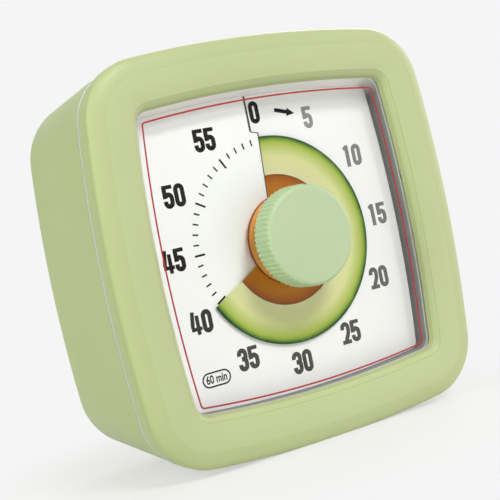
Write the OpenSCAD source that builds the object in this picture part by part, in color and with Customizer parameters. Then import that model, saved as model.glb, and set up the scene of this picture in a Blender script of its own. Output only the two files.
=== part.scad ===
// Desk countdown timer: a bowed square case with a turn-to-set knob and a coloured disc
// that comes out through a slit in the dial and shrinks as the minutes run out.
// Every piece is drawn about the dial axis: x to the right, y up, z out of the dial
// towards the user, with z = 0 at the dial's mean surface. upright() stands it up.

/* [Case] */
// Width and height of the case over its widest line
body_w = 79; // [76:0.5:86]
// Radius of the gentle bow of each side
side_bow_r = 253; // [160:1:500]
// Corner radius at the widest line
corner_r = 12.2; // [11.8:0.1:15]
// Front face of the bezel, in front of the dial
face_z = 6.1; // [5.8:0.1:8]
// Back face of the case, behind the dial
back_depth = 31; // [30:0.5:36]
// Width of the case at its back face
back_w = 72.6; // [70:0.2:76]
// Corner radius at the back face
back_corner_r = 12.7; // [11:0.1:16]
// Rounding of the back edge
back_edge_r = 2; // [1:0.1:3]
// Wall of the case's sides
wall_t = 2; // [1.6:0.1:2.4]
// Wall of the case's back
back_wall_t = 2.4; // [2.2:0.1:3]
// Depth of the flat that the case stands on
rest_flat = 0.3; // [0.2:0.05:0.5]
// Height of the trim ring between the two halves
trim_t = 0.6; // [0.4:0.1:1]
// Step of the trim ring in from the widest line
trim_inset = 0.3; // [0.3:0.05:0.6]
// Radius of each foot under the back of the case
foot_r = 4; // [3:0.5:5]
// Distance of each foot from the middle of the case
foot_x = 17; // [12:0.5:21]
// Distance of the feet behind the dial
foot_depth = 25; // [20:0.5:26]

/* [Bezel] */
// Width of the flat strip around the case's edge, at the bezel's side
bezel_side_h = 4.5; // [3.5:0.1:4.8]
// Width of the rounded outer band
outer_band_w = 3.15; // [2:0.05:4]
// Width of the bevel down to the window
inner_bevel_w = 1.4; // [0.8:0.05:2]
// Width of the bezel's whole frame, from the case's widest line to the window
frame_w = 10; // [9.5:0.1:12]
// Lip that centres the bezel in the rear shell
spigot_t = 1.2; // [0.8:0.1:1.4]
// Reach of that lip into the rear shell
spigot_reach = 2.2; // [1.5:0.1:2.6]

/* [Window] */
// Thickness of the clear sheet
lens_t = 1; // [0.8:0.1:1.2]
// Back face of the clear sheet, in front of the dial
lens_z = 3.2; // [3:0.1:3.3]
// Border of the clear sheet that the bezel covers
lens_lap = 1.5; // [1:0.1:1.8]
// Radius of the hole for the knob
lens_hole_r = 4.9; // [4.7:0.1:5.5]
// Draft of the surround: how far it comes in from the window to the dial
surround_draft = 0.45; // [0.3:0.05:1.5]
// Wall of the surround
surround_t = 1.1; // [0.8:0.1:1.3]

/* [Dial] */
// Rise of the dial in one turn
dial_rise = 1.2; // [1.1:0.05:1.3]
// Thickness of the dial and of the countdown disc
sheet_t = 0.3; // [0.2:0.05:0.35]
// Gap between the dial's edge and the surround
dial_gap = 0.2; // [0.1:0.05:0.4]
// Radius of the dial's centre hole
dial_hole_r = 5.2; // [5:0.1:6]
// Radius of the countdown disc
disc_r = 20.4; // [18:0.1:20.9]
// Gap around the disc in the well under the dial
well_gap = 0.9; // [0.6:0.1:1.5]
// Minutes shown at rest
rest_minutes = 40; // [1:1:59]
// Radius of the disc's hub
disc_hub_r = 4.6; // [4:0.1:4.8]
// Opening of the slit, as an angle
slit_angle = 0.5; // [0.3:0.1:1]

/* [Knob] */
// Radius of the knob over its flutes
knob_r = 9.75; // [8:0.05:11]
// Underside of the knob, in front of the dial
knob_z = 6; // [5:0.1:6.5]
// Height of the knob
knob_h = 4.9; // [3.5:0.1:6]
// Number of flutes around the knob
knob_flutes = 60; // [36:2:72]
// Depth of each flute
flute_depth = 0.22; // [0.1:0.02:0.3]
// Rounding of the knob's front edge
knob_edge_r = 1; // [0.4:0.1:1.5]
// Radius of the knob's neck
neck_r = 4.2; // [3.5:0.1:4.5]
// Radius of the round cover plate under the knob
cap_r = 8.75; // [7:0.05:9.5]
// Thickness of that cover plate
cap_t = 0.65; // [0.5:0.05:0.8]
// Underside of the cover plate, in front of the dial
cap_z = 1.6; // [1.55:0.05:1.8]
// Radius of the drive shaft
shaft_r = 1.25; // [1.1:0.05:1.4]

/* [Gears] */
// Gear module
gear_m = 0.3; // [0.28:0.01:0.31]
// Teeth of the centre wheel
centre_teeth = 64; // [64:8:64]
// Teeth of the third wheel and of the second wheel
wheel_teeth = 60; // [60:10:60]
// Leaves of both pinions
pinion_teeth = 8; // [8:1:8]
// Thickness of each wheel
wheel_t = 0.8; // [0.6:0.1:1]
// Spacing of the wheels along the axis
wheel_step = 2.4; // [2.4:0.05:2.5]
// Radius of the arbors
arbor_r = 0.6; // [0.4:0.05:0.8]
// Radius of the rotor's magnet
magnet_r = 2.6; // [2:0.1:2.8]

/* [Movement] */
// Width of the movement's case
move_w = 43; // [42:0.5:45]
// Height of the movement's case
move_h = 38; // [37:0.5:39]
// Depth of the movement's case
move_d = 12.8; // [12.5:0.1:13.5]
// Gap between the movement and the battery bay
move_gap = 0.5; // [0.4:0.1:1]
// Wall of the movement's case
move_wall = 1; // [0.8:0.1:1.2]

/* [Battery and switch] */
// Radius of the cell
cell_r = 7.1; // [6.9:0.05:7.25]
// Length of the cell with its cap
cell_len = 50.4; // [49.5:0.1:50.5]
// Width of the battery door
door_w = 57; // [56:0.5:60]
// Height of the battery door
door_h = 18; // [17:0.5:18.5]
// Height of the door's lower edge above the case's inner floor
door_rise = 3.7; // [3.5:0.1:4]
// Thickness of the battery door
door_t = 1.25; // [1:0.05:1.4]
// Thickness of the circuit board
board_t = 1.2; // [1:0.1:1.6]
// Front face of the circuit board, in front of the case's inner back
board_lift = 5.6; // [5.2:0.1:6]
// Width of each battery contact
contact_w = 10; // [8:0.5:12]
// Thickness of the battery contacts
contact_t = 0.4; // [0.3:0.05:0.5]
// Length of the coil
coil_len = 16; // [14:0.5:17]
// Width over the coil's flanges
coil_w = 6.8; // [6:0.1:7]
// Thickness over the coil's flanges
coil_t = 3.2; // [3:0.1:3.2]
// Length of the control chip
chip_len = 8; // [6:0.5:9]
// Radius of the crystal's can
crystal_r = 1; // [0.9:0.05:1.5]
// Length of the crystal's can
crystal_len = 6; // [5:0.5:8]
// Distance of the volume switch right of the dial axis
switch_x = 17; // [15:0.5:19]
// Height of the volume switch above the dial axis
switch_y = 4; // [0:0.5:6]
// Travel of the switch to each side
switch_travel = 2; // [1:0.1:2.5]
// Radius of the buzzer
buzzer_r = 10; // [8:0.5:11]
// Height of the buzzer above the dial axis
buzzer_y = 20; // [18:0.5:21]

/* [Fits] */
// Gap between pieces that are placed or slid in
fit_gap = 0.15; // [0.1:0.05:0.2]
// Radial gap of a shaft in its bearing
run_gap = 0.05; // [0.03:0.01:0.08]
// Gap around the battery door
door_gap = 0.25; // [0.2:0.05:0.4]

/* [Hidden] */

$fn = 96;
bite = 0.5;              // how far a cut reaches past the face it opens
half_w = body_w / 2;
half_back = back_w / 2;
axis_h = half_w - rest_flat;
knob_front = knob_z + knob_h;
axis_y = (knob_front - back_depth) / 2;

bezel_z = trim_t / 2;
shell_z = -trim_t / 2;
side_half = half_w - trim_inset - 0.05;
window_half = half_w - frame_w;
foot_half = window_half - surround_draft;
dial_half = foot_half - dial_gap;
well_r = disc_r + well_gap;
lens_half = window_half + lens_lap;
lens_top = lens_z + lens_t;
seat_z = lens_top + run_gap;
rib_t = 1.2;
rib_half = lens_half + fit_gap;
chassis_top = -3;
chassis_t = 1.2;
chassis_back = chassis_top - chassis_t;
chassis_half = half_w - wall_t - 1.1;

back_in = -(back_depth - back_wall_t);
door_low = door_rise + wall_t - half_back;
cell_drop = -door_low - door_h / 2;
cell_z = back_in + cell_r + 0.9;
bay_half_w = cell_len / 2 + 1.7;
bay_half_h = cell_r + 0.8;
bay_wall = 1.2;
bay_front = cell_z + cell_r + 0.6;
bay_top = -cell_drop + bay_half_h + bay_wall;
cell_x = bay_half_w - contact_t - 0.25 - cell_len;
ledge = 1;

move_y = bay_top + move_gap + move_h / 2;
move_front = chassis_back;
cover_t = 1.2;
cover_back = move_front - cover_t;
move_back = move_front - move_d;
floor_in = move_back + move_wall;

board_z = back_in + board_lift;
board_half_w = bay_half_w - contact_t - 0.15;
board_low = bay_top + 1;
board_top = move_y + move_h / 2 - 2.5;

// Screws: [x, y] of each
case_screw_at = [for (x = [-1, 1]) each [[x * (half_back - 9.8), half_back - 8.8],
                                         [x * (half_back - 5.8), bay_top + 5.5]]];
case_screw_r = 1.1;
case_head_r = 2.2;
case_head_t = 1.6;
tower_r = 3.2;
tower_end = -10.2;
head_seat = -12.2;
chassis_screw_at = [for (x = [-1, 1], y = [-1, 1]) [x * (half_w - 6), y * 20]];
chassis_screw_r = 0.9;
chassis_head_r = 1.8;
chassis_head_t = 1.2;
boss_r = 2.2;
move_screw_at = [for (x = [-1, 1], y = [-1, 1])
                 [x * (move_w / 2 - 2), move_y + y * (move_h / 2 - 2)]];
move_screw_r = 0.8;
move_head_r = 1.5;
move_head_t = 1;
board_screw_at = [for (x = [-1, 1], y = [board_low + 3, board_top - 8])
                  [x * (board_half_w - 3.4), y]];
board_screw_r = 0.8;
board_post_r = 2;

// Gear train: the pitch radii, and each arbor's place
centre_r = gear_m * centre_teeth / 2;
wheel_r = gear_m * wheel_teeth / 2;
pinion_r = gear_m * pinion_teeth / 2;
tooth_tip = 0.9 * gear_m;
tooth_root = 1.25 * gear_m;
third_dir = 30;
second_dir = 130;
rotor_dir = 185;
pinion_len = wheel_step + wheel_t / 2 + 0.2;
leaf_r = 0.75;
third_at = (centre_r + pinion_r) * [cos(third_dir), sin(third_dir)];
second_at = third_at + (wheel_r + pinion_r) * [cos(second_dir), sin(second_dir)];
rotor_at = second_at + (wheel_r + tooth_tip + leaf_r + run_gap) * [cos(rotor_dir), sin(rotor_dir)];
centre_z = cover_back - 1.6;
third_z = centre_z - wheel_step;
second_z = third_z - wheel_step;
magnet_z = second_z - 1.4;
magnet_t = 2.2;
stator_t = 1.2;
stator_z = magnet_z - magnet_t / 2 + stator_t / 2;
core_x = -16;
core_w = 3;
coil_low = move_y - 2 - coil_len / 2;
coil_high = coil_low + coil_len;
coil_pin_at = [for (y = [coil_low + 0.5, coil_high - 0.5]) [core_x - 2.4, y]];

sheet_steps = 120;
rest_angle = rest_minutes * 6;
disc_hub_low = dial_rise * (rest_angle - 360) / 360 - 0.35;
disc_hub_top = dial_rise * rest_angle / 360 + sheet_t / 2 + 0.05;

case_green = "#c4cf98";
knob_green = "#bcd2a8";
silver = "#c8c8c8";
dial_white = "#f4f4f2";
wall_grey = "#8a8a8a";
core_brown = "#c07a2a";
disc_green = "#a9c25a";
gear_white = "#e6e2d6";
brass = "#c9a24a";
steel = "#b4b8bc";
board_green = "#2f6b3f";
black_plastic = "#2a2a2c";

// ---- outline of the case: four bowed sides and four corners, all tangent ----
// Distance of the corner's centre from both middle lines
function corner_mid(half, bow, r) =
    let (e = bow - half, c = pow(e, 2) - pow(bow - r, 2))
    (-2 * e + sqrt(4 * pow(e, 2) - 8 * c)) / 4;
// Half of the angle that a side spans about its own centre
function side_angle(half, bow, r) =
    let (q = corner_mid(half, bow, r)) atan2(q, q + bow - half);
side_steps = 4;
corner_steps = 12;
function quarter(half, bow, r) =
    let (q = corner_mid(half, bow, r), a = side_angle(half, bow, r))
    concat([for (i = [0:side_steps]) let (t = -a + 2 * a * i / side_steps)
                [bow * cos(t) - (bow - half), bow * sin(t)]],
           [for (i = [1:corner_steps - 1]) let (t = a + (90 - 2 * a) * i / corner_steps)
                [q + r * cos(t), q + r * sin(t)]]);
function turn(p, k) = [p[0] * cos(k) - p[1] * sin(k), p[0] * sin(k) + p[1] * cos(k)];
function outline(half, bow, r) = [for (k = [0:3]) for (p = quarter(half, bow, r)) turn(p, 90 * k)];
// The same outline moved in or out from the widest line, to a given half width
function ring_line(half) = outline(half, side_bow_r + half - half_w, corner_r + half - half_w);

module plate_2d(half) {
    polygon(ring_line(half));
}

// A ring of constant section around the case. Each corner of the section is
// [half width, height], counterclockwise with the half width to the right.
module case_ring(section) {
    rings = [for (c = section) ring_line(c[0])];
    m = len(section);
    n = len(rings[0]);
    points = [for (k = [0:m - 1]) for (p = rings[k]) [p[0], p[1], section[k][1]]];
    faces = [for (k = [0:m - 1]) for (i = [0:n - 1])
                let (j = (i + 1) % n, a = k * n, b = ((k + 1) % m) * n)
                each [[a + i, b + i, a + j], [a + j, b + i, b + j]]];
    polyhedron(points, faces, convexity = 8);
}

// A closed loft through levels, each [z, outline points], from low z to high z
module loft(levels) {
    n = len(levels[0][1]);
    m = len(levels);
    points = [for (l = levels) for (p = l[1]) [p[0], p[1], l[0]]];
    sides = [for (k = [0:m - 2]) for (i = [0:n - 1]) let (j = (i + 1) % n, a = k * n, b = a + n)
                each [[a + i, b + i, a + j], [a + j, b + i, b + j]]];
    low = [[for (i = [0:n - 1]) i]];
    high = [[for (i = [0:n - 1]) m * n - 1 - i]];
    polyhedron(points, concat(sides, low, high), convexity = 6);
}

// A sheet that climbs like a stair around the axis, clockwise from the top.
// stations: [angle, inner radius, outer radius, low z, high z]
function clock_point(a, r, z) = [r * sin(a), r * cos(a), z];
module climbing_sheet(stations) {
    n = len(stations);
    points = [for (s = stations) each [clock_point(s[0], s[1], s[4]), clock_point(s[0], s[2], s[4]),
                                       clock_point(s[0], s[2], s[3]), clock_point(s[0], s[1], s[3])]];
    skin = [for (i = [0:n - 2]) for (k = [0:3]) let (l = (k + 1) % 4, a = 4 * i, b = a + 4)
                each [[a + k, a + l, b + k], [b + k, a + l, b + l]]];
    polyhedron(points, concat(skin, [[3, 2, 1, 0]],
                              [[4 * n - 4, 4 * n - 3, 4 * n - 2, 4 * n - 1]]), convexity = 6);
}

// Reach of the dial's outline in the direction that is a degrees clockwise of the top
function outline_reach(a, half) =
    let (bow = side_bow_r + half - half_w, r = corner_r + half - half_w,
         b = abs(a - 90 * round(a / 90)), e = bow - half, q = corner_mid(half, bow, r),
         side = -e * cos(b) + sqrt(pow(bow, 2) - pow(e * sin(b), 2)),
         past = atan2(side * sin(b), side * cos(b) + e) > side_angle(half, bow, r),
         along = q * (cos(b) + sin(b)), off = q * (cos(b) - sin(b)))
    past ? along + sqrt(pow(r, 2) - pow(off, 2)) : side;

function dial_z(a) = dial_rise * (a / 360 - 0.5);
function dial_angle(i) = slit_angle + (360 - 2 * slit_angle) * i / sheet_steps;

module upright() {
    translate([0, axis_y, axis_h]) rotate([90, 0, 0]) children();
}

module rod(r, z0, z1) {
    translate([0, 0, z0]) cylinder(r = r, h = z1 - z0);
}

module at(points) {
    for (p = points) translate([p[0], p[1], 0]) children();
}

// A pan-head screw with a cross slot: head behind z0, shank forward to z1
module screw(r, head_r, head_t, z0, z1) {
    difference() {
        union() {
            rod(r, z0 - head_t / 2, z1);
            rod(head_r, z0 - head_t, z0);
        }
        for (k = [0, 90]) rotate([0, 0, k])
            translate([-head_r * 0.6, -0.25, z0 - head_t - bite])
                cube([head_r * 1.2, 0.5, bite + head_t * 0.45]);
    }
}

// ---- case ----
module front_bezel() {
    color(case_green) upright() difference() {
        union() {
            case_ring([
                [side_half, bezel_z], [half_w, bezel_side_h],
                [half_w - 0.12 * outer_band_w, bezel_side_h + 0.45 * (face_z - bezel_side_h)],
                [half_w - 0.45 * outer_band_w, bezel_side_h + 0.82 * (face_z - bezel_side_h)],
                [half_w - outer_band_w, face_z],
                [window_half + inner_bevel_w, face_z],
                [window_half, seat_z], [rib_half, seat_z],
                [rib_half, lens_z - 1], [rib_half + rib_t, lens_z - 1], [rib_half + rib_t, seat_z],
                [half_w - wall_t - spigot_t, seat_z],
                [half_w - wall_t - spigot_t - trim_inset, bezel_z - trim_t - spigot_reach + fit_gap],
                [side_half - wall_t - fit_gap - 0.35, bezel_z - trim_t - spigot_reach + fit_gap],
                [side_half - wall_t - fit_gap, bezel_z]]);
            at(chassis_screw_at) rod(boss_r, chassis_top, seat_z + bite);
        }
        at(chassis_screw_at) rod(chassis_screw_r, chassis_top - bite, lens_z);
        translate([-half_w, -half_w - bite, -back_depth]) cube([body_w, bite + rest_flat, 2 * back_depth]);
    }
}

module window_lens() {
    color([0.9, 0.95, 0.95, 0.3]) upright() difference() {
        translate([0, 0, lens_z]) linear_extrude(lens_t) plate_2d(lens_half);
        rod(lens_hole_r, lens_z - bite, lens_top + bite);
    }
}

module dial_surround() {
    top_half = window_half + fit_gap;
    color(wall_grey) upright() case_ring([
        [foot_half, -dial_rise], [foot_half, chassis_top], [lens_half, chassis_top],
        [lens_half, chassis_top + 1], [foot_half + surround_t, chassis_top + 1],
        [top_half + surround_t, lens_z - 0.8], [lens_half, lens_z - 0.8],
        [lens_half, lens_z], [top_half, lens_z]]);
}

module dial_plate() {
    color(dial_white) upright() climbing_sheet([for (i = [0:sheet_steps]) let (a = dial_angle(i))
        [a, dial_hole_r, outline_reach(a, dial_half), dial_z(a) - sheet_t / 2, dial_z(a) + sheet_t / 2]]);
}

module dial_frame() {
    color(dial_white) upright() climbing_sheet([for (i = [0:sheet_steps]) let (a = dial_angle(i))
        [a, well_r, outline_reach(a, dial_half), chassis_top, dial_z(a) - sheet_t / 2 - run_gap]]);
}

module trim_ring() {
    inner = side_half - wall_t;
    color(silver) upright() translate([0, 0, shell_z]) linear_extrude(trim_t) difference() {
        plate_2d(half_w - trim_inset);
        plate_2d(inner);
    }
}

module chassis_plate() {
    color(black_plastic) upright() difference() {
        union() {
            translate([0, 0, chassis_back]) linear_extrude(chassis_t) plate_2d(chassis_half);
            at(case_screw_at) rod(tower_r, tower_end + fit_gap, chassis_top);
        }
        rod(2 * shaft_r, chassis_back - bite, chassis_top + bite);
        at(case_screw_at) rod(case_screw_r, tower_end - bite, chassis_back + 0.6);
        at(chassis_screw_at) rod(chassis_screw_r, chassis_back - bite, chassis_top + bite);
        at(move_screw_at) rod(move_screw_r, chassis_back - bite, chassis_top + bite);
    }
}

module chassis_screws() {
    color(steel) upright() at(chassis_screw_at)
        screw(chassis_screw_r, chassis_head_r, chassis_head_t, chassis_back, lens_z - 0.6);
}

// Half width of the rear shell at a height, along its taper
function shell_half(z) = side_half + (half_back - side_half) * (shell_z - z) / (shell_z + back_depth);
function shell_bow(z) = side_bow_r + 35 * (shell_z - z) / (shell_z + back_depth);
function shell_r(z) = corner_r + (back_corner_r - corner_r) * (shell_z - z) / (shell_z + back_depth);
function shell_line(z, inset) = outline(shell_half(z) - inset, shell_bow(z) - inset, shell_r(z) - inset);

module rear_shell_outside() {
    loft(concat(
        [for (t = [90, 60, 30, 0]) let (z = -back_depth + back_edge_r * (1 - sin(t)))
            [z, shell_line(z, back_edge_r * (1 - cos(t)))]],
        [[shell_z, shell_line(shell_z, 0)]]));
}

module rear_shell_inside() {
    loft([[back_in, shell_line(back_in, wall_t)], [shell_z + bite, shell_line(shell_z + bite, wall_t)]]);
}

module battery_bay(grow, z0, z1) {
    translate([-bay_half_w - grow, -cell_drop - bay_half_h - grow, z0])
        cube([2 * (bay_half_w + grow), 2 * (bay_half_h + grow), z1 - z0]);
}

// A round grille: rings of small holes
module sound_holes() {
    translate([0, buzzer_y, 0]) {
        rod(0.7, -back_depth - bite, back_in + bite);
        for (ring = [1:2]) for (i = [0:6 * ring - 1]) rotate([0, 0, 60 * i / ring])
            translate([2.6 * ring, 0, 0]) rod(0.7, -back_depth - bite, back_in + bite);
    }
}

module rear_shell() {
    tab_x = door_w / 2 - 8;
    color(case_green) upright() difference() {
        union() {
            difference() {
                rear_shell_outside();
                rear_shell_inside();
            }
            at(case_screw_at) rod(tower_r, back_in - bite, tower_end);
            at(board_screw_at) rod(board_post_r, back_in - bite, board_z - board_t);
            battery_bay(bay_wall, back_in - bite, bay_front + bay_wall);
            translate([0, buzzer_y, 0]) difference() {
                rod(buzzer_r + 1.2, back_in - bite, back_in + 1.6);
                rod(buzzer_r + fit_gap, back_in, back_in + 1.6 + bite);
            }
            for (k = [0, 1]) mirror([k, 0, 0]) translate([foot_x, -axis_h, -foot_depth])
                rotate([-90, 0, 0]) rotate([0, 0, 45]) cylinder(r = foot_r, h = half_w - half_back + 1);
        }
        battery_bay(0, back_in - bite, bay_front);
        translate([-door_w / 2 + ledge, door_low + ledge, -back_depth - bite])
            cube([door_w - 2 * ledge, door_h - 2 * ledge, back_wall_t + 2 * bite]);
        translate([-door_w / 2 - door_gap, door_low - door_gap, -back_depth - bite])
            cube([door_w + 2 * door_gap, door_h + 2 * door_gap, bite + door_t + 0.05]);
        for (x = [-1, 1]) translate([x * tab_x - 3 - door_gap, door_low, -back_depth])
            rotate([0, 90, 0]) cylinder(r = door_t + 0.5, h = 6 + 2 * door_gap);
        for (x = [-1, 1]) translate([x * (bay_half_w - 0.5) - 0.7, 0, board_z - 2])
            translate([0, -cell_drop + bay_half_h - bite, 0]) cube([1.4, bay_wall + 2 * bite, 3]);
        translate([0, door_low + door_h, 0]) rod(5, -back_depth - bite, -back_depth + 0.8);
        at(case_screw_at) {
            rod(case_head_r + fit_gap, -back_depth - bite, head_seat);
            rod(case_screw_r + fit_gap, head_seat - bite, tower_end + bite);
        }
        at(board_screw_at) rod(board_screw_r, back_in + 0.8, board_z);
        sound_holes();
        translate([switch_x - switch_travel - 1.5, switch_y - 1.1, -back_depth - bite])
            cube([2 * switch_travel + 3, 2.2, back_wall_t + 2 * bite]);
        translate([switch_x - switch_travel - 2.7, switch_y - 2.3, -back_depth - bite])
            cube([2 * switch_travel + 5.4, 4.6, bite + 0.9]);
    }
}

module case_screws() {
    color(steel) upright() at(case_screw_at)
        screw(case_screw_r, case_head_r, case_head_t, head_seat, chassis_back);
}

module battery_door() {
    tab_x = door_w / 2 - 8;
    rib_w = door_w - 16;
    color(case_green) upright() difference() {
        union() {
            translate([-door_w / 2, door_low, -back_depth]) cube([door_w, door_h, door_t]);
            for (x = [-1, 1]) translate([x * tab_x - 3, door_low, -back_depth]) intersection() {
                rotate([0, 90, 0]) cylinder(r = door_t + 0.2, h = 6);
                translate([0, -door_t, 0.3]) cube([6, 2 * door_t, door_t]);
            }
        }
        for (i = [0:3]) translate([-6, door_low + door_h - 3 - 1.4 * i, -back_depth - bite])
            cube([12, 0.6, bite + 0.4]);
        translate([-rib_w / 2, door_low + 2, -back_depth - bite]) cube([rib_w, 0.5, bite + 0.3]);
    }
}

// ---- movement ----
function wheel_tooth(r, n, i, width) =
    let (step = 360 / n, c = i * step, root = r - tooth_root, tip = r + tooth_tip,
         pitch = step * width / 2, low = min(pitch * 1.5, step * 0.46), high = pitch * 0.45)
    [for (p = [[root, -low], [r, -pitch], [tip, -high], [tip, high], [r, pitch], [root, low]])
        p[0] * [cos(c + p[1]), sin(c + p[1])]];

// A toothed disc with one tooth centred on the +x axis
module toothed(r, n, z0, t, width) {
    translate([0, 0, z0]) linear_extrude(t)
        polygon([for (i = [0:n - 1]) each wheel_tooth(r, n, i, width)]);
}

// Five round lightening holes
module lighten(r_mid, r_hole, z0, t) {
    for (i = [0:4]) rotate([0, 0, 72 * i]) translate([r_mid, 0, 0]) rod(r_hole, z0 - bite, z0 + t + bite);
}

module move_box(inset, z0, z1) {
    translate([-move_w / 2 + inset, move_y - move_h / 2 + inset, z0])
        cube([move_w - 2 * inset, move_h - 2 * inset, z1 - z0]);
}

module movement_cover() {
    color(gear_white) upright() difference() {
        move_box(0, cover_back, move_front);
        rod(2 * shaft_r, cover_back - bite, move_front + bite);
        at(move_screw_at) rod(move_screw_r, cover_back - bite, move_front + bite);
        at([third_at, second_at, rotor_at]) rod(arbor_r + run_gap, cover_back - bite, cover_back + 0.7);
    }
}

module movement_case() {
    color(gear_white) upright() difference() {
        union() {
            difference() {
                move_box(0, move_back, cover_back);
                move_box(move_wall, floor_in, cover_back + bite);
            }
            at(move_screw_at) rod(2, move_back, cover_back);
        }
        at(move_screw_at) rod(move_screw_r, move_back - bite, cover_back + bite);
        at([third_at, second_at, rotor_at]) rod(arbor_r + run_gap, floor_in - 0.6, floor_in + bite);
        rod(shaft_r * 0.6 + run_gap, floor_in - 0.6, floor_in + bite);
        at(coil_pin_at) rod(0.6, move_back - bite, floor_in + bite);
    }
}

module movement_screws() {
    color(steel) upright() at(move_screw_at)
        screw(move_screw_r, move_head_r, move_head_t, move_back, chassis_top - 0.2);
}

module shaft_bearing() {
    color(brass) upright() difference() {
        union() {
            rod(2 * shaft_r, cover_back, -1.8);
            rod(2 * shaft_r + 1, chassis_top, chassis_top + 0.6);
        }
        rod(shaft_r + run_gap, cover_back - bite, -1.8 + bite);
    }
}

module stator() {
    right_x = rotor_at[0] + magnet_r + 1.8;
    left_x = core_x - core_w / 2;
    window_right = rotor_at[0] - magnet_r - 1.6;
    color(steel) upright() translate([0, 0, stator_z - stator_t]) linear_extrude(stator_t) difference() {
        translate([left_x, coil_low - 3.4]) square([right_x - left_x, coil_high - coil_low + 6.8]);
        translate([core_x + core_w / 2, coil_low])
            square([window_right - core_x - core_w / 2, coil_high - coil_low]);
        translate(rotor_at) circle(magnet_r + 0.5);
        translate([window_right, rotor_at[1] - 0.2]) square([1.6, 0.4]);
    }
}

module coil_block(w, t, y0, y1) {
    translate([core_x - w / 2, y0, stator_z - stator_t / 2 - t / 2]) cube([w, y1 - y0, t]);
}

module core_hole() {
    coil_block(core_w, stator_t, coil_low - bite, coil_high + bite);
}

module coil_bobbin() {
    color(black_plastic) upright() difference() {
        union() {
            coil_block(core_w + 1, stator_t + 1, coil_low, coil_high);
            coil_block(coil_w, coil_t, coil_low, coil_low + 1);
            coil_block(coil_w, coil_t, coil_high - 1, coil_high);
        }
        core_hole();
    }
}

module coil_winding() {
    color("#b5562a") upright() difference() {
        coil_block(coil_w - 0.6, coil_t - 0.6, coil_low + 1, coil_high - 1);
        coil_block(core_w + 1, stator_t + 1, coil_low, coil_high);
    }
}

module coil_pins() {
    pin_top = stator_z - stator_t / 2 - coil_t / 2;
    color(brass) upright() at(coil_pin_at) rod(0.25, board_z - board_t - 0.5, pin_top);
}

module third_wheel() {
    color(gear_white) upright() translate([third_at[0], third_at[1], 0]) {
        rotate([0, 0, second_dir]) difference() {
            toothed(wheel_r, wheel_teeth, third_z, wheel_t, 0.42);
            lighten(wheel_r * 0.55, wheel_r * 0.18, third_z, wheel_t);
        }
        rotate([0, 0, third_dir + 180 + 180 / pinion_teeth])
            toothed(pinion_r, pinion_teeth, third_z + wheel_t / 2, pinion_len, 0.38);
        rod(arbor_r, floor_in - 0.5, cover_back + 0.6);
    }
}

module second_wheel() {
    color(gear_white) upright() translate([second_at[0], second_at[1], 0]) {
        rotate([0, 0, rotor_dir]) difference() {
            toothed(wheel_r, wheel_teeth, second_z, wheel_t, 0.42);
            lighten(wheel_r * 0.55, wheel_r * 0.18, second_z, wheel_t);
        }
        rotate([0, 0, second_dir + 180 + 180 / pinion_teeth])
            toothed(pinion_r, pinion_teeth, second_z + wheel_t / 2, pinion_len, 0.38);
        rod(arbor_r, floor_in - 0.5, cover_back + 0.6);
    }
}

module rotor() {
    color("#4a4a50") upright() translate([rotor_at[0], rotor_at[1], 0]) {
        rod(magnet_r, magnet_z - magnet_t, magnet_z);
        rod(arbor_r, floor_in - 0.5, cover_back + 0.6);
        translate([-leaf_r, -0.15, second_z - 0.2]) cube([2 * leaf_r, 0.3, wheel_t + 0.4]);
    }
}

// ---- electrics ----
module circuit_board() {
    color(board_green) upright() difference() {
        translate([-board_half_w, board_low, board_z - board_t])
            cube([2 * board_half_w, board_top - board_low, board_t]);
        at(board_screw_at) rod(board_screw_r + fit_gap, board_z - board_t - bite, board_z + bite);
        at(coil_pin_at) rod(0.3, board_z - board_t - bite, board_z + bite);
    }
}

module board_screws() {
    color(steel) upright() at(board_screw_at) mirror([0, 0, 1])
        screw(board_screw_r, 1.5, 1, -board_z, -back_in - 1.5);
}

module control_chip() {
    color(black_plastic) upright() {
        translate([-chip_len / 2, 2, board_z]) cube([chip_len, chip_len * 0.75, chip_len / 5]);
        for (i = [0:5]) translate([chip_len * (i / 6 - 0.43), 1, board_z])
            cube([chip_len / 16, chip_len * 0.75 + 2, 0.6]);
    }
}

module quartz_crystal() {
    color(silver) upright() translate([10, 5, board_z + crystal_r + 0.1]) rotate([90, 0, 0])
        cylinder(r = crystal_r, h = crystal_len, $fn = 48);
}

module buzzer() {
    color(brass) upright() translate([0, buzzer_y, 0]) {
        rod(buzzer_r, back_in + 0.3, back_in + 0.7);
        rod(buzzer_r * 0.7, back_in + 0.7, back_in + 0.95);
        for (i = [0:2]) rotate([0, 0, 120 * i]) translate([buzzer_r - 0.6, 0, 0])
            rod(0.5, back_in, back_in + 0.3);
    }
}

switch_half = switch_travel + 2.6;
module switch_body() {
    color(steel) upright() difference() {
        translate([switch_x - switch_half, switch_y - 1.9, back_in + 0.6])
            cube([2 * switch_half, 3.8, board_z - board_t - back_in - 0.6]);
        translate([switch_x - switch_travel - 1.5, switch_y - 1.1, back_in + 0.6 - bite])
            cube([2 * switch_travel + 3, 2.2, 2.2 + bite]);
    }
}

module volume_slider() {
    color(black_plastic) upright() {
        translate([switch_x - 1.2, switch_y - 0.9, -back_depth + 0.4]) cube([2.4, 1.8, back_wall_t + 1.6]);
        for (i = [0:2]) translate([switch_x - 0.95 + 0.75 * i, switch_y - 0.9, -back_depth + 0.1])
            cube([0.4, 1.8, 0.4]);
    }
}

module aa_cell() {
    color("#7d8b99") upright() translate([cell_x, -cell_drop, cell_z]) rotate([0, 90, 0]) {
        cylinder(r = cell_r, h = cell_len - 1.2);
        cylinder(r = 2.7, h = cell_len);
    }
}

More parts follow.
